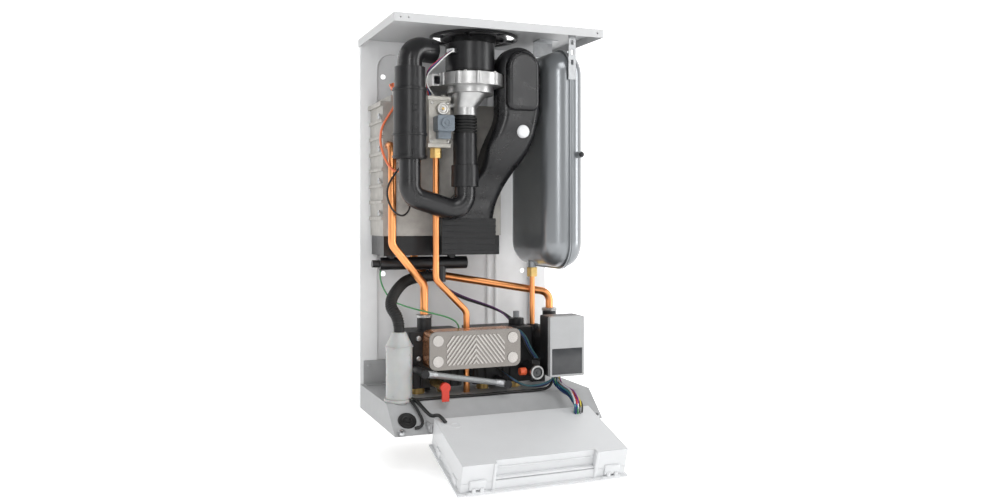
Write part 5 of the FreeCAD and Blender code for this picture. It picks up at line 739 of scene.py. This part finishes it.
SLEEVE_SEAT = (-45, -188, 525)
SLEEVE_LENGTH = 33.0
SLEEVE_BORE = 15.0
SLEEVE_RADIUS = 19.5
SLEEVE_END = 3              # plain at either end
SLEEVE_RIBS = 5
SLEEVE_RIB_RINGS = ((19.6, 0.4), (22.0, 1.0), (22.5, 1.8), (22.5, 3.0), (22.0, 3.8), (19.6, 4.6))


def make_sleeve():
    rings = [(SLEEVE_BORE, 0), (SLEEVE_RADIUS, 0), (SLEEVE_RADIUS, SLEEVE_END)]
    pitch = (SLEEVE_LENGTH - 2 * SLEEVE_END) / SLEEVE_RIBS
    for rib in range(SLEEVE_RIBS):
        foot = SLEEVE_END + rib * pitch
        rings += [(radius, foot + along) for radius, along in SLEEVE_RIB_RINGS]
    rings += [(SLEEVE_RADIUS, SLEEVE_LENGTH), (SLEEVE_BORE, SLEEVE_LENGTH)]
    piece = turned("ribbed_sleeve", rings, at(*SLEEVE_SEAT), UP, black_rubber, sides=56)
    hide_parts("rubber_sleeve")


# Trim of the flue and the tray

TEST_PLUG_SEAT = (57, -219.5, 530)
TEST_PLUG_AXIS = (0, -1, 0.06)
TEST_PLUG_RINGS = ((0, 6), (9, 6), (11, 5), (12, 3), (12, -2), (0, -2))
APRON_FOOT_Y = -265         # the sloped apron rises from here to the deck
APRON_RISE = 46
APRON_RUN = 54
GROMMET_X = -170
GROMMET_Y = -241
GROMMET_RINGS = ((0, 1.5), (5, 1.5), (6.5, 4), (9, 5), (11, 3), (14, 3.5), (16, 2), (16.5, 0), (0, 0))
EYE_X = 186
EYE_Y = -263.5
EYE_Z = 6
EYE_RINGS = ((2.5, 0), (6.5, 0), (6.5, 2), (5, 3), (2.5, 3), (2.5, 0))


def make_tray_trim():
    turned("flue_test_plug", TEST_PLUG_RINGS, at(*TEST_PLUG_SEAT), TEST_PLUG_AXIS, box_white)
    slope = math.atan2(APRON_RISE, APRON_RUN)
    out = Vector((0, -math.sin(slope), math.cos(slope)))
    grommet_z = APRON_RISE * (GROMMET_Y - APRON_FOOT_Y) / APRON_RUN
    turned("apron_grommet", GROMMET_RINGS, at(GROMMET_X, GROMMET_Y, grommet_z), out, black_rubber)
    for side in (-1, 1):
        turned("corner_eye", EYE_RINGS, at(side * EYE_X, EYE_Y, EYE_Z), out, zinc)


# Trim of the exchanger, the gas valve, the fan and the silencer

EXCHANGER_SIDE_X = -183
EXCHANGER_BOLT_Y = -104
EXCHANGER_BOLTS_Z = (380, 440, 500, 560)
EXCHANGER_BOLT_RADIUS = 5.5
VALVE_FRONT_Y = -182
VALVE_SCREWS = ((-106, 580), (-76, 580), (-108, 510), (-75, 510))
VALVE_SCREW_RADIUS = 3.2
VALVE_CAP_X = -88
VALVE_CAP_Z = 569
VALVE_CAP_RINGS = ((0, 8.5), (3, 8.5), (3.6, 7.5), (7, 7.2), (8.2, 9.2), (10.2, 9.2), (11, 8), (11, 6.9))
CAP_SCREW_Y = -190.5
CAP_SCREW_RINGS = ((0, 2), (1.6, 2), (2.4, 1.4), (2.4, 0))
COIL_BOSS_SEAT = (-88, -209, 541.5)
COIL_BOSS_RINGS = ((0, 1.6), (2.4, 1.6), (2.6, 0.8), (5.6, 0.8), (6.4, 1.8), (9.0, 1.8), (9.6, 0))
FAN_AXIS = Vector((-35, -188, 0))
FAN_PLUG_TURN = Matrix.Rotation(math.radians(-60), 3, "Z")      # about the fan's axis, from the front
FAN_SCREWS = ((-92, -167), (-63, -240), (-8, -243))
FAN_SCREW_Z = 632
FAN_SCREW_RADIUS = 3.0
SILENCER_CLIPS_Z = (480, 520, 560)


def round_fan(x, y, z):
    """A place given from the fan's axis, turned to where the fan's plug is."""
    return at(*(FAN_PLUG_TURN @ Vector((x, y, z)) + FAN_AXIS))


def make_valve_trim():
    for z in EXCHANGER_BOLTS_Z:
        seat = at(EXCHANGER_SIDE_X, EXCHANGER_BOLT_Y, z)
        screw_head("exchanger_bolt", seat, LEFT, EXCHANGER_BOLT_RADIUS, zinc)
    for x, z in VALVE_SCREWS:
        screw_head("valve_screw", at(x, VALVE_FRONT_Y, z), FRONT, VALVE_SCREW_RADIUS, bare_steel)
    turned("valve_cap_ring", VALVE_CAP_RINGS, at(VALVE_CAP_X, VALVE_FRONT_Y, VALVE_CAP_Z), FRONT, bare_steel)
    turned("valve_cap_screw", CAP_SCREW_RINGS, at(VALVE_CAP_X, CAP_SCREW_Y, VALVE_CAP_Z), FRONT, brass)
    turned("coil_boss", COIL_BOSS_RINGS, at(*COIL_BOSS_SEAT), FRONT, coil_blue)
    chamfered("fan_plug", (-8, -57, 667), (8, -51, 674), 1.0, box_white, round_fan)
    for x, y in FAN_SCREWS:
        screw_head("fan_screw", at(x, y, FAN_SCREW_Z), UP, FAN_SCREW_RADIUS, bare_steel)
    for z in SILENCER_CLIPS_Z:
        chamfered("silencer_clip", (-156, -228.5, z), (-148, -225, z + 10), 1.2, black_moulded)


# Trim of the vessel, the pump, the relief valve and the hydraulic blocks

AIR_CAP_SEAT = (158, -257, 488)
AIR_CAP_RINGS = ((0, 5), (3.2, 5), (4.2, 4), (4.6, 2), (4.6, -4), (3.8, -5), (0, -5))
PIPE_CLIPS = ((-108, -140), (160, -114))
PIPE_CLIP_Z = 186
PIPE_CLIP_RINGS = ((8, 0), (14.5, 0), (15, 0.6), (15, 5), (13, 6.5), (8, 6.5))
RELIEF_X = 84
RELIEF_Z = 85
RELIEF_RIM_Y = -220
RELIEF_RIM_RINGS = ((9.4, 0), (12.8, 0), (13.4, 0.8), (13.4, 5), (12.4, 6.5), (9.8, 6.5), (9.4, 5))
RELIEF_FACE_Y = -223.5
RELIEF_FACE_RINGS = ((0, 2.2), (2, 2), (2.4, 0.6), (6, 1.2), (9.3, 0.4), (9.3, -1))
PLATE_SCREWS = ((-127, 114), (-127, 151), (63, 114), (63, 151))
PLATE_SCREW_Y = -167
PLATE_SCREW_RADIUS = 5.0
BLOCK_RIBS_X = (-140, -124, -82, -66, -52, -14, 2, 38, 52)
BLOCK_RIB_WIDTH = 3.5


def make_water_trim():
    turned("air_valve_cap", AIR_CAP_RINGS, at(*AIR_CAP_SEAT), FRONT, black_moulded)
    for x, y in PIPE_CLIPS:
        turned("pipe_clip", PIPE_CLIP_RINGS, at(x, y, PIPE_CLIP_Z), UP, bright_cast)
        chamfered("pipe_clip_tab", (x - 6, y - 20, PIPE_CLIP_Z + 1), (x + 6, y - 13, PIPE_CLIP_Z + 4), 1.0,
                  bright_cast)
    chamfered("pump_panel", (107.4, -240.2, 81.4), (168.6, -239, 128.6), 0.3, window_smoke)
    turned("relief_ring", RELIEF_RIM_RINGS, at(RELIEF_X, RELIEF_RIM_Y, RELIEF_Z), FRONT, bright_cast)
    turned("relief_face", RELIEF_FACE_RINGS, at(RELIEF_X, RELIEF_FACE_Y, RELIEF_Z), FRONT, window_smoke)
    for x, z in PLATE_SCREWS:
        screw_head("plate_screw", at(x, PLATE_SCREW_Y, z), FRONT, PLATE_SCREW_RADIUS, bright_cast)
    for x in BLOCK_RIBS_X:
        chamfered("block_rib", (x, -171, 63), (x + BLOCK_RIB_WIDTH, -166, 95), 0.8, composite)


# Trim of the control box

LATCHES_X = (-120, 120)
LATCH_LUGS = (4, 18)            # from the latch's left end
LUG_EDGE = 1.6
RECESS_POSTS_X = (-81, 101)
BOX_SIDES_X = (-134, 156)
SIDE_LUGS = ((120, 140), (36, 56))
DIMPLE_PLACE = (-104, 34, 20)
DIMPLE_RINGS = ((6, -0.2), (6.5, 0.7), (8.5, 0.7), (9.2, -0.2))


def make_box_trim():
    on_cover("recess_lip", (-75, 149, -11.5), (101, 157, -7.5), 1.4)
    on_cover("recess_rib", (-75, 149, 6), (101, 152.5, 8.5), 1.0)
    for x in LATCHES_X:
        on_cover("cover_latch", (x, 157, -24), (x + 28, 161.5, -7), LUG_EDGE)
        on_cover("latch_foot", (x - 4, 158, -31), (x + 32, 165, -26), 2.0)
        for step in LATCH_LUGS:
            on_cover("latch_lug", (x + step, 160, -27), (x + step + 7, 164.5, -19), LUG_EDGE)
    for x in RECESS_POSTS_X:
        on_cover("recess_post", (x, 150, -30), (x + 6, 160, 19), LUG_EDGE)
    for x in BOX_SIDES_X:
        for near, far in SIDE_LUGS:
            on_cover("side_lug", (x - 2, near, -30), (x + 6, far, -14), LUG_EDGE)
    lid_axis = (0, -math.sin(HANG_ANGLE), math.cos(HANG_ANGLE))
    turned("cover_dimple", DIMPLE_RINGS, on_box(*DIMPLE_PLACE), lid_axis, box_white, "control_box")


make_camera()
make_ignition_lead()
make_box_harness()
make_drain_hose()
make_fill_hose()
make_box_cable()
make_wires()
make_sleeve()
make_studio()
make_floor()
dress_nodes()
make_tray_trim()
make_valve_trim()
make_water_trim()
make_box_trim()
